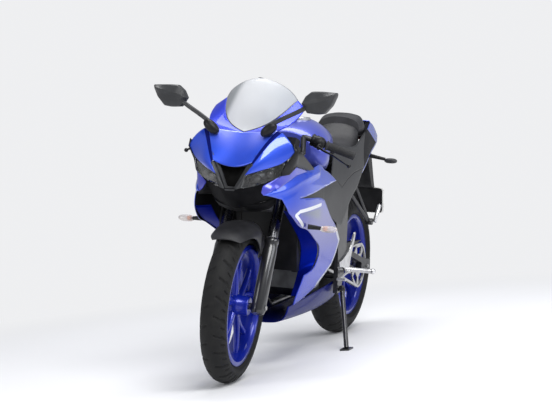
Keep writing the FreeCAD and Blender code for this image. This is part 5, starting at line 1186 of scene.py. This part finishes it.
def tread_tyre(name, width, bead, radius, node, hub, body):
    """Tyre: crown arc through the widest points, cut by slanted grooves 4.5 mm deep.

    With s the way across from the middle and t the share of the turn, a groove lies where t pitch + 0.55
    |s|^1.3 is half way between two whole numbers, with one side half a step further on. Ramps over |s| end
    the grooves. A second row, twice as dense, lies toward the shoulders.
    """
    widest, pitch, deepest = 250.0, 26, 4.5
    rise = radius - widest
    crown = (width ** 2 / 4 + rise ** 2) / (2 * rise)
    reach = math.asin(width / 2 / crown)
    count = 560
    s = np.linspace(-1, 1, 57)
    out = np.abs(s)[None]
    y = crown * np.sin(reach * s)
    r = radius - crown * (1 - np.cos(reach * s))
    angle = np.linspace(0, 2 * math.pi, count, endpoint=False)[:, None]
    slant = angle / (2 * math.pi) * pitch + 0.55 * out ** 1.3 + 0.5 * (s[None] > 0)
    first = np.abs((slant % 1.0) - 0.5)
    second = np.abs(((slant * 2 + 0.3) % 1.0) - 0.5)
    cut = ramp(-first, -0.085, 0.05) * ramp(out, 0.12, 0.06) * ramp(-out, -0.9, 0.08)
    cut = np.maximum(cut, ramp(-second, -0.11, 0.07) * ramp(out, 0.52, 0.06) * ramp(-out, -0.84, 0.06))
    cut_y = y[None] - deepest * cut * np.sin(reach * s)[None]
    cut_r = r[None] - deepest * cut * np.cos(reach * s)[None]
    wall = np.array([(widest, -width / 2), (243, -width / 2 + 1.0), (236, -bead - 4), (230, -bead),
                     (216.3, -bead)])
    left = np.broadcast_to(wall[None, ::-1], (count,) + wall.shape)
    right = left[:, ::-1] * (1, -1)
    ring_r = np.concatenate([left[:, :-1, 0], cut_r, right[:, 1:, 0]], axis=1)
    ring_y = np.concatenate([left[:, :-1, 1], cut_y, right[:, 1:, 1]], axis=1)
    grid = np.stack([ring_r * np.cos(angle), ring_y, ring_r * np.sin(angle)], axis=2)
    tyre = Piece(name, hub)
    tyre.grid(grid, ring=True, tube=True)
    tyre.make([rubber_tyre], body, [node], closed=True, sharp=32)


def spoke_line(root, fork, reach, spread, side):
    """Centre line, a quadratic curve from hub to barrel, and half widths of one branch of a forked spoke."""
    share = np.linspace(0, 1, 26)[:, None]
    base = np.array([0.0, root])
    bend = np.array([side * 3.0, fork])
    end = np.array([side * reach * math.sin(spread), reach * math.cos(spread)])
    line = (1 - share) ** 2 * base + 2 * share * (1 - share) * bend + share ** 2 * end
    return line, 13 - 5 * np.sin(math.pi * share[:, 0] * 0.9)


def cast_rim(name, bead, hub_radius, hub_half, node, hub, body):
    """Cast wheel: turned barrel with flanges, hub, and five spokes that fork in two."""
    flange = bead / 2 + 0.3
    outer = flange + 4.5
    half_barrel = [(216, flange), (226.5, flange), (228, flange + 1.5), (228, outer - 1.5), (226, outer),
                   (212, outer), (209, outer - 4), (205, outer - 12), (203, outer - 20)]
    well = [(209, flange - 6), (207, flange - 14)]
    barrel = mirrored_profile(half_barrel) + half_barrel[::-1] + well + mirrored_profile(well[::-1])
    half_hub = [(7.9, hub_half), (hub_radius - 8, hub_half), (hub_radius - 5, hub_half - 3),
                (hub_radius - 2, 22), (hub_radius, 18)]
    rim = Piece(name, hub)
    rim.grid(lathe(barrel, 160), ring=True, tube=True)
    rim.grid(lathe(mirrored_profile(half_hub) + half_hub[::-1], 72), ring=True, tube=True)
    section = ring_profile(1.0, 20, 1.0, 3.2)
    for number in range(5):
        spin = turn("Y", math.radians(72 * number))[:3, :3]
        for side in (-1, 1):
            line, wide = spoke_line(hub_radius - 6, 118, 206, math.radians(15), side)
            path = np.stack([line[:, 0], np.zeros(26), line[:, 1]], axis=1)
            way = np.gradient(path, axis=0)
            way /= np.linalg.norm(way, axis=1, keepdims=True)
            cross = np.stack([way[:, 2], np.zeros(26), -way[:, 0]], axis=1)
            thick = 14 - 4 * np.linspace(0, 1, 26)
            grid = (path[:, None] + cross[:, None] * (section[None, :, 0:1] * wide[:, None, None])
                    + np.array([0, 1.0, 0]) * (section[None, :, 1:2] * thick[:, None, None]))
            rim.grid(grid @ spin.T, tube=True, caps=True)
    rim.make([wheel_blue], body, [node], closed=True, sharp=40)


tread_tyre("Front_tyre", 100, 37.0, FRONT_R - TYRE_PLAY, "front_tyre", FRONT_HUB, "front_wheel")
tread_tyre("Rear_tyre", 140, 52.0, REAR_R - TYRE_PLAY, "rear_tyre", REAR_HUB, "rear_wheel")
cast_rim("Front_rim", 74, 40, 59.7, "front_rim", FRONT_HUB, "front_wheel")
cast_rim("Rear_rim", 104, 46, 76, "rear_rim", REAR_HUB, "rear_wheel")

# Fork, bars, brake hose and front fender
LEG = np.array([OFFSET, LEG_Y, 0.0])
TUBE_TOP = HEAD_TOP + 42
LOWER_LEG = [(4, -26), (20, -26), (24.5, -22), (27.5, -14), (27.5, 226), (26, 236), (25.6, 250), (27.5, 256),
             (27.5, 270), (25, 274), (20.9, 274)]
AXLE_BOSS = [(8, 59.7), (13, 60.5), (13, 122.0), (11.5, 123.5), (8, 123.5)]
TUBE_END = [(20.5, -1), (19.5, 0), (14, 0), (13.6, -3), (8, -3), (7.5, 0), (0.3, 0)]


def raised(profile, up):
    """Points (radius, along) moved along by a height."""
    return [(radius, up + along) for radius, along in profile]


for name, sign in SIDES:
    leg = Piece("Fork_lower_" + name, FORK)
    leg.grid(lathe(raised(LOWER_LEG, AXLE), 48, "z") + LEG * (1, sign, 1), ring=True)
    leg.grid(lathe(AXLE_BOSS, 32) * (1, sign, 1) + (OFFSET, 0, AXLE), ring=True, tube=True)
    for up in (AXLE + 150, AXLE + 205):
        rod(leg, (40, sign * LEG_Y, up), (12, sign * LEG_Y, up), 9)
    leg.make([fork_finish], "steering", ["fork_lowers"], closed=True)
    tube = Piece("Fork_tube_" + name, FORK)
    tube_line = [(20.5, AXLE + 232)] + raised(TUBE_END, TUBE_TOP)
    tube.grid(lathe(tube_line, 48, "z") + LEG * (1, sign, 1), ring=True)
    tube.make([shaded_tube], "steering", ["fork_tubes"], closed=True)

BAR_START = np.array([OFFSET, LEG_Y, HEAD_TOP - 16])
BAR_RISE = BAR_START + (-14, 50, 0)
BAR_END = in_fork((255, 324, 854))
BAR_BEND = in_fork((308, 127, 922))
BAR_WAY = (BAR_END - BAR_BEND) / np.linalg.norm(BAR_END - BAR_BEND)
LEVER_TIP = in_fork((349, 330, 821))


def on_bar(back):
    """Point of the left handlebar, measured back from its end."""
    return BAR_END - BAR_WAY * back


def along_bar(piece, profile, around=48, sign=1):
    """Surface of revolution about the left bar from (radius, distance back from the end) points."""
    side = np.cross(BAR_WAY, (0, 0, 1.0))
    side /= np.linalg.norm(side)
    over = np.cross(side, BAR_WAY)
    turns = np.linspace(0, 2 * math.pi, around, endpoint=False)[:, None, None]
    profile = np.asarray(profile, float)
    centre = BAR_END[None] - BAR_WAY[None] * profile[:, 1:2]
    grid = centre[None] + profile[None, :, 0:1] * (np.cos(turns) * side + np.sin(turns) * over)
    piece.grid(grid * (1, sign, 1), ring=True, flip=sign < 0)


BAR_CLAMP = [(20.9, -32), (30, -32), (31, -31), (31, -1), (30, 0), (20.9, 0)]
for name, sign in SIDES:
    bar = Piece("Handlebar_" + name, FORK)
    bar.grid(lathe(raised(BAR_CLAMP, HEAD_TOP), 48, "z") + LEG * (1, sign, 1), ring=True, tube=True)
    out = (BAR_RISE - BAR_START) / np.linalg.norm(BAR_RISE - BAR_START)
    slope = BAR_BEND - BAR_RISE
    knee = [BAR_START + out * 24, BAR_RISE - out * 8, BAR_RISE - out * 2.5 + slope * 0.03,
            BAR_RISE + slope * 0.1]
    turn_in = [BAR_BEND - slope * 0.1, BAR_BEND - slope * 0.03 + BAR_WAY * 1.5, BAR_BEND + BAR_WAY * 8]
    route = np.array(knee + turn_in + [BAR_END - BAR_WAY * 3, BAR_END])
    radii = [11] * (len(route) - 1) + [9.5]
    bar.grid(swept(route, ring_profile(1.0, 32), radii) * (1, sign, 1), tube=True, caps=True)
    bar.make([alloy_dark], "steering", ["handlebars"], closed=True)
    grip = Piece("Grip_" + name, FORK)
    ribs = [(11.4, 2), (16, 2), (16.5, 4)]
    for start in (8 + number * 5.6 for number in range(18)):
        ribs += [(16.4, start), (16.4, start + 3.2), (15.1, start + 3.7), (15.1, start + 5.1)]
    ribs += [(16.4, 110), (16.5, 114), (19.5, 116), (20, 119), (18.5, 121.5), (11.4, 122)]
    along_bar(grip, ribs, 56, sign)
    grip.make([rubber], "steering", ["bar_controls"], closed=True, sharp=50)
    box = Piece("Switches_" + name, FORK)
    housing = [(11.4, 152), (20, 152), (22.6, 154), (23, 157), (23, 178), (21.5, 182), (18, 184), (11.4, 184)]
    along_bar(box, housing, 40, sign)
    along_bar(box, [(11.4, 124), (15, 124), (17, 127), (17, 147), (15, 150), (11.4, 150)], 40, sign)
    pivot = on_bar(138) + (36, 0, -30)
    root = on_bar(138) + (11, 0, -9)
    rod(box, root * (1, sign, 1), pivot * (1, sign, 1), 10)
    oval(box, (on_bar(150) + (6, 0, -2)) * (1, sign, 1), (25, 29, 23), 2.3)
    button = on_bar(168)
    up = np.cross(np.cross(BAR_WAY, (0, 0, 1.0)), BAR_WAY)
    up /= np.linalg.norm(up)
    for along, lean, reach in ((-9, 0.0, 5), (6, -0.5, 4), (8, 0.55, 3.4)):
        way = up * math.cos(lean) + np.cross(BAR_WAY, up) * math.sin(lean)
        spot = button + BAR_WAY * along
        rod(box, (spot + way * 20) * (1, sign, 1), (spot + way * 25.5) * (1, sign, 1), reach, 16)
    box.make([satin_black], "steering", ["bar_controls"], closed=True, sharp=40)
    lever = Piece("Lever_" + name, FORK)
    knuckle = pivot + (pivot - root) / np.linalg.norm(pivot - root) * 7.4
    curve = knuckle + BAR_WAY * 62 + (18, 0, -14)
    path = smooth_line([knuckle, (knuckle + curve) / 2 + (3, 0, -2), curve,
                        (curve + LEVER_TIP) / 2 + (2, 0, -1), LEVER_TIP], 60)
    blade = np.concatenate([np.linspace(7.5, 6.2, 20), np.linspace(6.2, 5.2, 40)])
    lever.grid(swept(path, ring_profile(1.0, 20, 0.62, 2.4), blade) * (1, sign, 1), tube=True, caps=True)
    oval(lever, LEVER_TIP * (1, sign, 1), (8.2, 8.2, 8.2))
    rod(lever, (knuckle + (0, 0, -7)) * (1, sign, 1), (knuckle + (0, 0, 7)) * (1, sign, 1), 6.5, 20)
    lever.make([gloss_black], "steering", ["levers"], closed=True)

reservoir = Piece("Fluid_reservoir", FORK)
CUP = [(0.5, 34), (16, 34), (18, 37), (18, 54), (19, 55), (19, 63), (17.5, 66), (0.5, 66)]
reservoir.grid(lathe(raised(CUP, HEAD_TOP), 48, "z") + (50, -151, 0), ring=True)
rod(reservoir, (50, -151, HEAD_TOP + 40.4), (52, -120, HEAD_TOP + 40.4), 4)
reservoir.make([grained_black], "steering", ["bar_controls"], closed=True)

hose = Piece("Brake_hose", FORK)
hose_route = [(-80, -66, AXLE + 99.4), (-78, -82, AXLE + 150), (-48, -122, AXLE + 235),
              (-10, -138, AXLE + 330), (14, -140, AXLE + 430), (44, -138, AXLE + 530),
              (78, -132, HEAD_TOP - 30), (62, -140, HEAD_TOP + 32.8)]
pipe(hose, hose_route, 3.5, 14, 120)
hose.make([rubber], "steering", ["brake_hose"], closed=True)

FENDER = ((56, 52, 305), (60, 66, 300), (66, 74, 292), (74, 80, 278), (84, 84, 250), (94, 84, 205),
          (101, 72, 178), (106, 61, 190), (116, 60, 212), (126, 60, 224), (136, 66, 236), (148, 70, 246),
          (160, 70, 258))
fender_rows = []
for angle, half, skirt in FENDER:
    c, s = math.cos(math.radians(angle)), math.sin(math.radians(angle))
    half_section = ((1.0, skirt), (1.02, max(269, skirt + 1)), (0.92, max(297, skirt + 3)), (0.55, 315))
    section = half_section + ((0.0, 318),) + tuple((-y, r) for y, r in half_section[::-1])
    fender_rows.append([(r * c, y * half, r * s) for y, r in section])
fender_grid = patch(fender_rows, 110, 70)
front_fender = Piece("Front_fender", FRONT_HUB)
front_fender.grid(fender_grid, flip=facing(fender_grid, (0, 0, 60)))
front_fender.make([fender_finish], "steering", ["front_fender"], wall=3, sharp=40)

# Mirrors, indicators and instruments
MIRROR = np.array([(228, 1056), (242, 1084), (266, 1103), (302, 1104), (361, 1101), (360, 1088), (345, 1054),
                   (318, 1023), (290, 1019), (250, 1022)], float)
CREASE = np.array([(234, 1058), (248, 1067), (266, 1072), (302, 1080), (348, 1092), (344, 1085), (330, 1074),
                   (300, 1066), (276, 1060), (250, 1055)], float)
MIRROR_X = 622.8
MIRROR_STALK = np.array([(674, 122, 974), (663, 168, 1000), (652, 214, 1024), (646, 242, 1040)])
HEAD_RINGS = ((MIRROR_X, 0.0, -0.012), (626, 0.0, 0.0), (648, 0.02, 0.0), (654, 0.12, 0.0), (667, 0.82, 0.0),
              (670, 1.0, 0.0))
INDICATORS = (("front", (450, 292, 583), (16, 34, 13), ((480, 220, 590), (456, 262, 585))),
              ("rear", (-892, 153, 782), (15, 30, 12), ((-872, 48.2, 803), (-886, 128, 788))))
POD_LEAN = turn("X", math.radians(40))[:3, :3]
for name, sign in SIDES:
    side = np.array([1, sign, 1])
    head = Piece("Mirror_" + name)
    rings = []
    for x, toward, grow in HEAD_RINGS:
        loop = MIRROR * (1 - toward) + CREASE * toward + (MIRROR - MIRROR.mean(0)) * grow
        rings.append(np.column_stack([x + (loop[:, 0] - 294) * 0.06 * (x - MIRROR_X) / 30, loop]))
    fine = [even(np.vstack([ring, ring[:1]]), 61)[:-1] for ring in rings]
    head.grid(np.array(fine) * side, tube=True, caps=True)
    pipe(head, MIRROR_STALK * side, 8.5, 20, 40)
    pod = Piece("pod")
    oval(pod, (0, 0, 0), (20, 36, 20), 2.2)
    head.slot = 1
    head.raw((np.concatenate(pod.points) @ POD_LEAN.T + (671, 114, 955)) * side, pod.faces[0])
    head.make([mirror_grey, satin_black], "chassis", ["mirrors"], closed=True, sharp=16)
    glass = Piece("Mirror_glass_" + name)
    sheets = []
    for x, share in ((621.8, 0.1), (620.8, 0.1), (620.2, 0.12)):
        loop = drawn_in(MIRROR, share)
        sheets.append(smooth_line(np.column_stack([np.full(len(loop), x), loop]), 60, closed=True))
    glass.grid(np.array(sheets) * side, tube=True, caps=True)
    glass.make([mirror_silver], "chassis", ["mirror_glasses"], closed=True)
    for end, centre, half, root in INDICATORS:
        bulb = Piece("Indicator_%s_%s" % (end, name))
        oval(bulb, centre * side, half, 2.5, 40, 26)
        clear = end == "front"
        cover = glass_signal if clear else mirror_grey
        bulb.make([cover], "chassis", ["indicator_lenses"], closed=True)
        if clear:
            core = Piece("Bulb_%s_%s" % (end, name))
            oval(core, (np.array(centre) - (0, 12, 0)) * side, np.array(half) * (0.5, 0.3, 0.5), 2.2, 24, 16)
            core.make([amber], "chassis", ["indicator_lenses"], closed=True)
        stalk = Piece("Stalk_%s_%s" % (end, name))
        path = even(np.array(root, float) * side, 12)
        oval_section = ring_profile(1.0, 24, 0.8, 2.3)
        stalk.grid(swept(path, oval_section, np.linspace(10, 7, 12), (1, 0, 0)), tube=True, caps=True)
        stalk.make([satin_black], "chassis", ["indicator_stalks"], closed=True)

DIAL = shift(470, 0, 985) @ turn("Y", math.radians(-28))
cluster = Piece("Instruments")
board(cluster, DIAL, (0, 0, 0), (17, 75, 39), 16, 4)
board(cluster, np.eye(4), (544.3, 0, 939), (74.3, 15, 4), 3, 1)
cluster.make([satin_black], "chassis", ["instruments"], closed=True, sharp=40)
face = Piece("Instrument_face")
board(face, DIAL, (-18.2, 0, 0), (1.0, 65, 30), 14, 0.5)
face.make([dial_face], "chassis", ["instruments"], closed=True)

# Footrests and brackets
HEEL_GUARD = [
    [(-372, 492), (-352, 490), (-302, 432), (-216, 396), (-160, 384)], [(-160, 384), (-166, 362)],
    [(-166, 362), (-236, 350), (-268, 322)], [(-268, 322), (-302, 322)],
    [(-302, 322), (-300, 352), (-322, 402), (-348, 444), (-372, 492)]]
for name, sign in SIDES:
    side = np.array([1, sign, 1])
    rest = Piece("Footrest_" + name)
    guard = slab(rounded(HEEL_GUARD), ((150.4, 0.03), (151.6, 0.0), (156.2, 0.0), (157.4, 0.035)))
    rest.grid(guard * side, tube=True, caps=True)
    bar_ends = np.array([(-285, 154.4, 340.0), (-300, 262, 338.0)])
    radii = [9.2 if (k % 3 == 2 and k > 8) else 10.0 for k in range(60)]
    rest.grid(swept(even(bar_ends, 60), ring_profile(1.0, 24), radii) * side, tube=True, caps=True)
    oval(rest, bar_ends[1] * side, (12, 12, 12))
    rest.make([silver], "chassis", ["footrests"], closed=True, sharp=30)
    stays = Piece("Pillion_bracket_" + name)
    for stay in ([(-430, 122.8, 692), (-500, 141, 602), (-556, 156, 526)],
                 [(-370, 127.6, 652), (-470, 143, 584), (-556, 156, 526)]):
        pipe(stays, np.array(stay) * side, 9, 20, 30)
    rod(stays, (-556, sign * 146, 526), (-556, sign * 176, 526), 15)
    stays.make([frame_black], "chassis", ["pillion_brackets"], closed=True)
    peg = Piece("Pillion_peg_" + name)
    rod(peg, (-556, sign * 185.4, 526), (-590, sign * 196, 600), 9)
    peg.make([silver], "chassis", ["pillion_pegs"], closed=True)

# Solids that keep their shape
KEPT = {
    "fuel_tank": tank_sheen_paint, "fuel_lid": alloy, "engine": engine_grey, "front_disc": steel,
    "rear_disc": steel, "rear_sprocket": steel, "front_axle": steel, "rear_axle": steel,
    "swingarm_pivot": steel, "exhaust": steel, "chain": steel, "main_frame": frame_black,
    "rear_subframe": frame_black, "rear_shock": frame_black, "side_stand": frame_black,
    "radiator": satin_black, "chain_guard": satin_black, "foot_controls": silver,
    "swingarm": alloy_dark, "rear_caliper": alloy_dark, "front_caliper": alloy_dark,
    "fork_clamps": alloy_dark,
}
for node, finish in KEPT.items():
    for slot in frame["nodes"][node].material_slots:
        slot.material = finish.material

# Floor, world, lights and camera
PALE = (0.86, 0.865, 0.88)
FLOOR_REACH = 9.0
floor_finish = Finish("studio_floor", rough=0.6)
drift = floor_finish.noise(0.6, 2.0)
floor_finish.put("Base Color", floor_finish.blend(drift, (0.86, 0.86, 0.87), (0.88, 0.88, 0.89)))
floor_x, floor_y, _ = floor_finish.axes()
far = (floor_x * floor_x + floor_y * floor_y).step(1.4, 9.0)
horizon = floor_finish.node("ShaderNodeEmission", sockets={"Color": PALE, "Strength": 1.0})
near = floor_finish.shader.outputs[0]
floor_finish.finish_with(mix_shaders(floor_finish.tree, far, near, horizon.outputs[0]))
floor_mesh = bpy.data.meshes.new("Floor")
floor_corners = [(FLOOR_REACH * x, FLOOR_REACH * y, 0) for x, y in ((-1, -1), (1, -1), (1, 1), (-1, 1))]
floor_mesh.from_pydata(floor_corners, [], [(0, 1, 2, 3)])
floor_mesh.materials.append(floor_finish.material)
floor = bpy.data.objects.new("Floor", floor_mesh)
bpy.context.scene.collection.objects.link(floor)

world = bpy.data.worlds.new("Studio")
bpy.context.scene.world = world
world.use_nodes = True
tree = world.node_tree
tree.nodes.clear()
rays = add_node(tree, "ShaderNodeLightPath")
through_glass = Value(tree, rays.outputs["Is Transmission Ray"])
seen_straight = Value(tree, rays.outputs["Is Camera Ray"]).most(through_glass)
soft = add_node(tree, "ShaderNodeBackground", sockets={"Color": (0.9, 0.93, 1.0), "Strength": 0.42})
seen = add_node(tree, "ShaderNodeBackground", sockets={"Color": PALE, "Strength": 1.0})
sky = mix_shaders(tree, seen_straight, soft.outputs[0], seen.outputs[0])
add_node(tree, "ShaderNodeOutputWorld", sockets={"Surface": sky})


def soft_box(name, place, target, size, power, colour=(1, 1, 1)):
    """Rectangular studio light aimed at a target."""
    light = bpy.data.lights.new(name, "AREA")
    light.shape = "RECTANGLE"
    light.size, light.size_y = size
    light.energy = power
    light.color = colour
    lamp_object = bpy.data.objects.new(name, light)
    bpy.context.scene.collection.objects.link(lamp_object)
    lamp_object.location = place
    way = Vector(target) - Vector(place)
    lamp_object.rotation_euler = way.to_track_quat("-Z", "Y").to_euler()


soft_box("Key", (3.2, 2.6, 4.2), (0, 0, 0.5), (3.0, 2.0), 205)
soft_box("Side", (0.5, 5.0, 2.2), (0, 0, 0.6), (4.0, 1.6), 90, (0.93, 0.95, 1.0))
soft_box("Top", (-0.8, 0.2, 4.6), (0, 0, 0.6), (3.0, 1.4), 110)
soft_box("Fill", (4.5, -3.0, 2.4), (0.2, 0, 0.6), (2.0, 2.0), 60)

# Camera in the upright bike's frame, its lens given as the distance to a picture 552 wide
AZIMUTH = math.radians(180 + 19.60)
RISE = math.radians(-5.036)
ROLL = math.radians(2.584)
EYE = (5929, 2028, 1165)
DISTANCE, PICTURE_WIDTH = 1522.75, 552
forward = np.array([math.cos(RISE) * math.cos(AZIMUTH), math.cos(RISE) * math.sin(AZIMUTH), math.sin(RISE)])
right = np.cross(forward, (0, 0, 1))
right /= np.linalg.norm(right)
over = np.cross(right, forward)
right, over = math.cos(ROLL) * right + math.sin(ROLL) * over, -math.sin(ROLL) * right + math.cos(ROLL) * over
pose = np.eye(4)
pose[:3, :3] = BIKE[:3, :3] @ np.stack([right, over, -forward], axis=1)
pose[:3, 3] = placed([EYE], BIKE)[0]
lens = bpy.data.cameras.new("Camera")
lens.sensor_width = 36
lens.lens = DISTANCE / PICTURE_WIDTH * lens.sensor_width
lens.clip_end = 60
camera = bpy.data.objects.new("Camera", lens)
bpy.context.scene.collection.objects.link(camera)
camera.matrix_world = Matrix(pose.tolist())
bpy.context.scene.camera = camera
bpy.context.scene.view_settings.view_transform = "Standard"
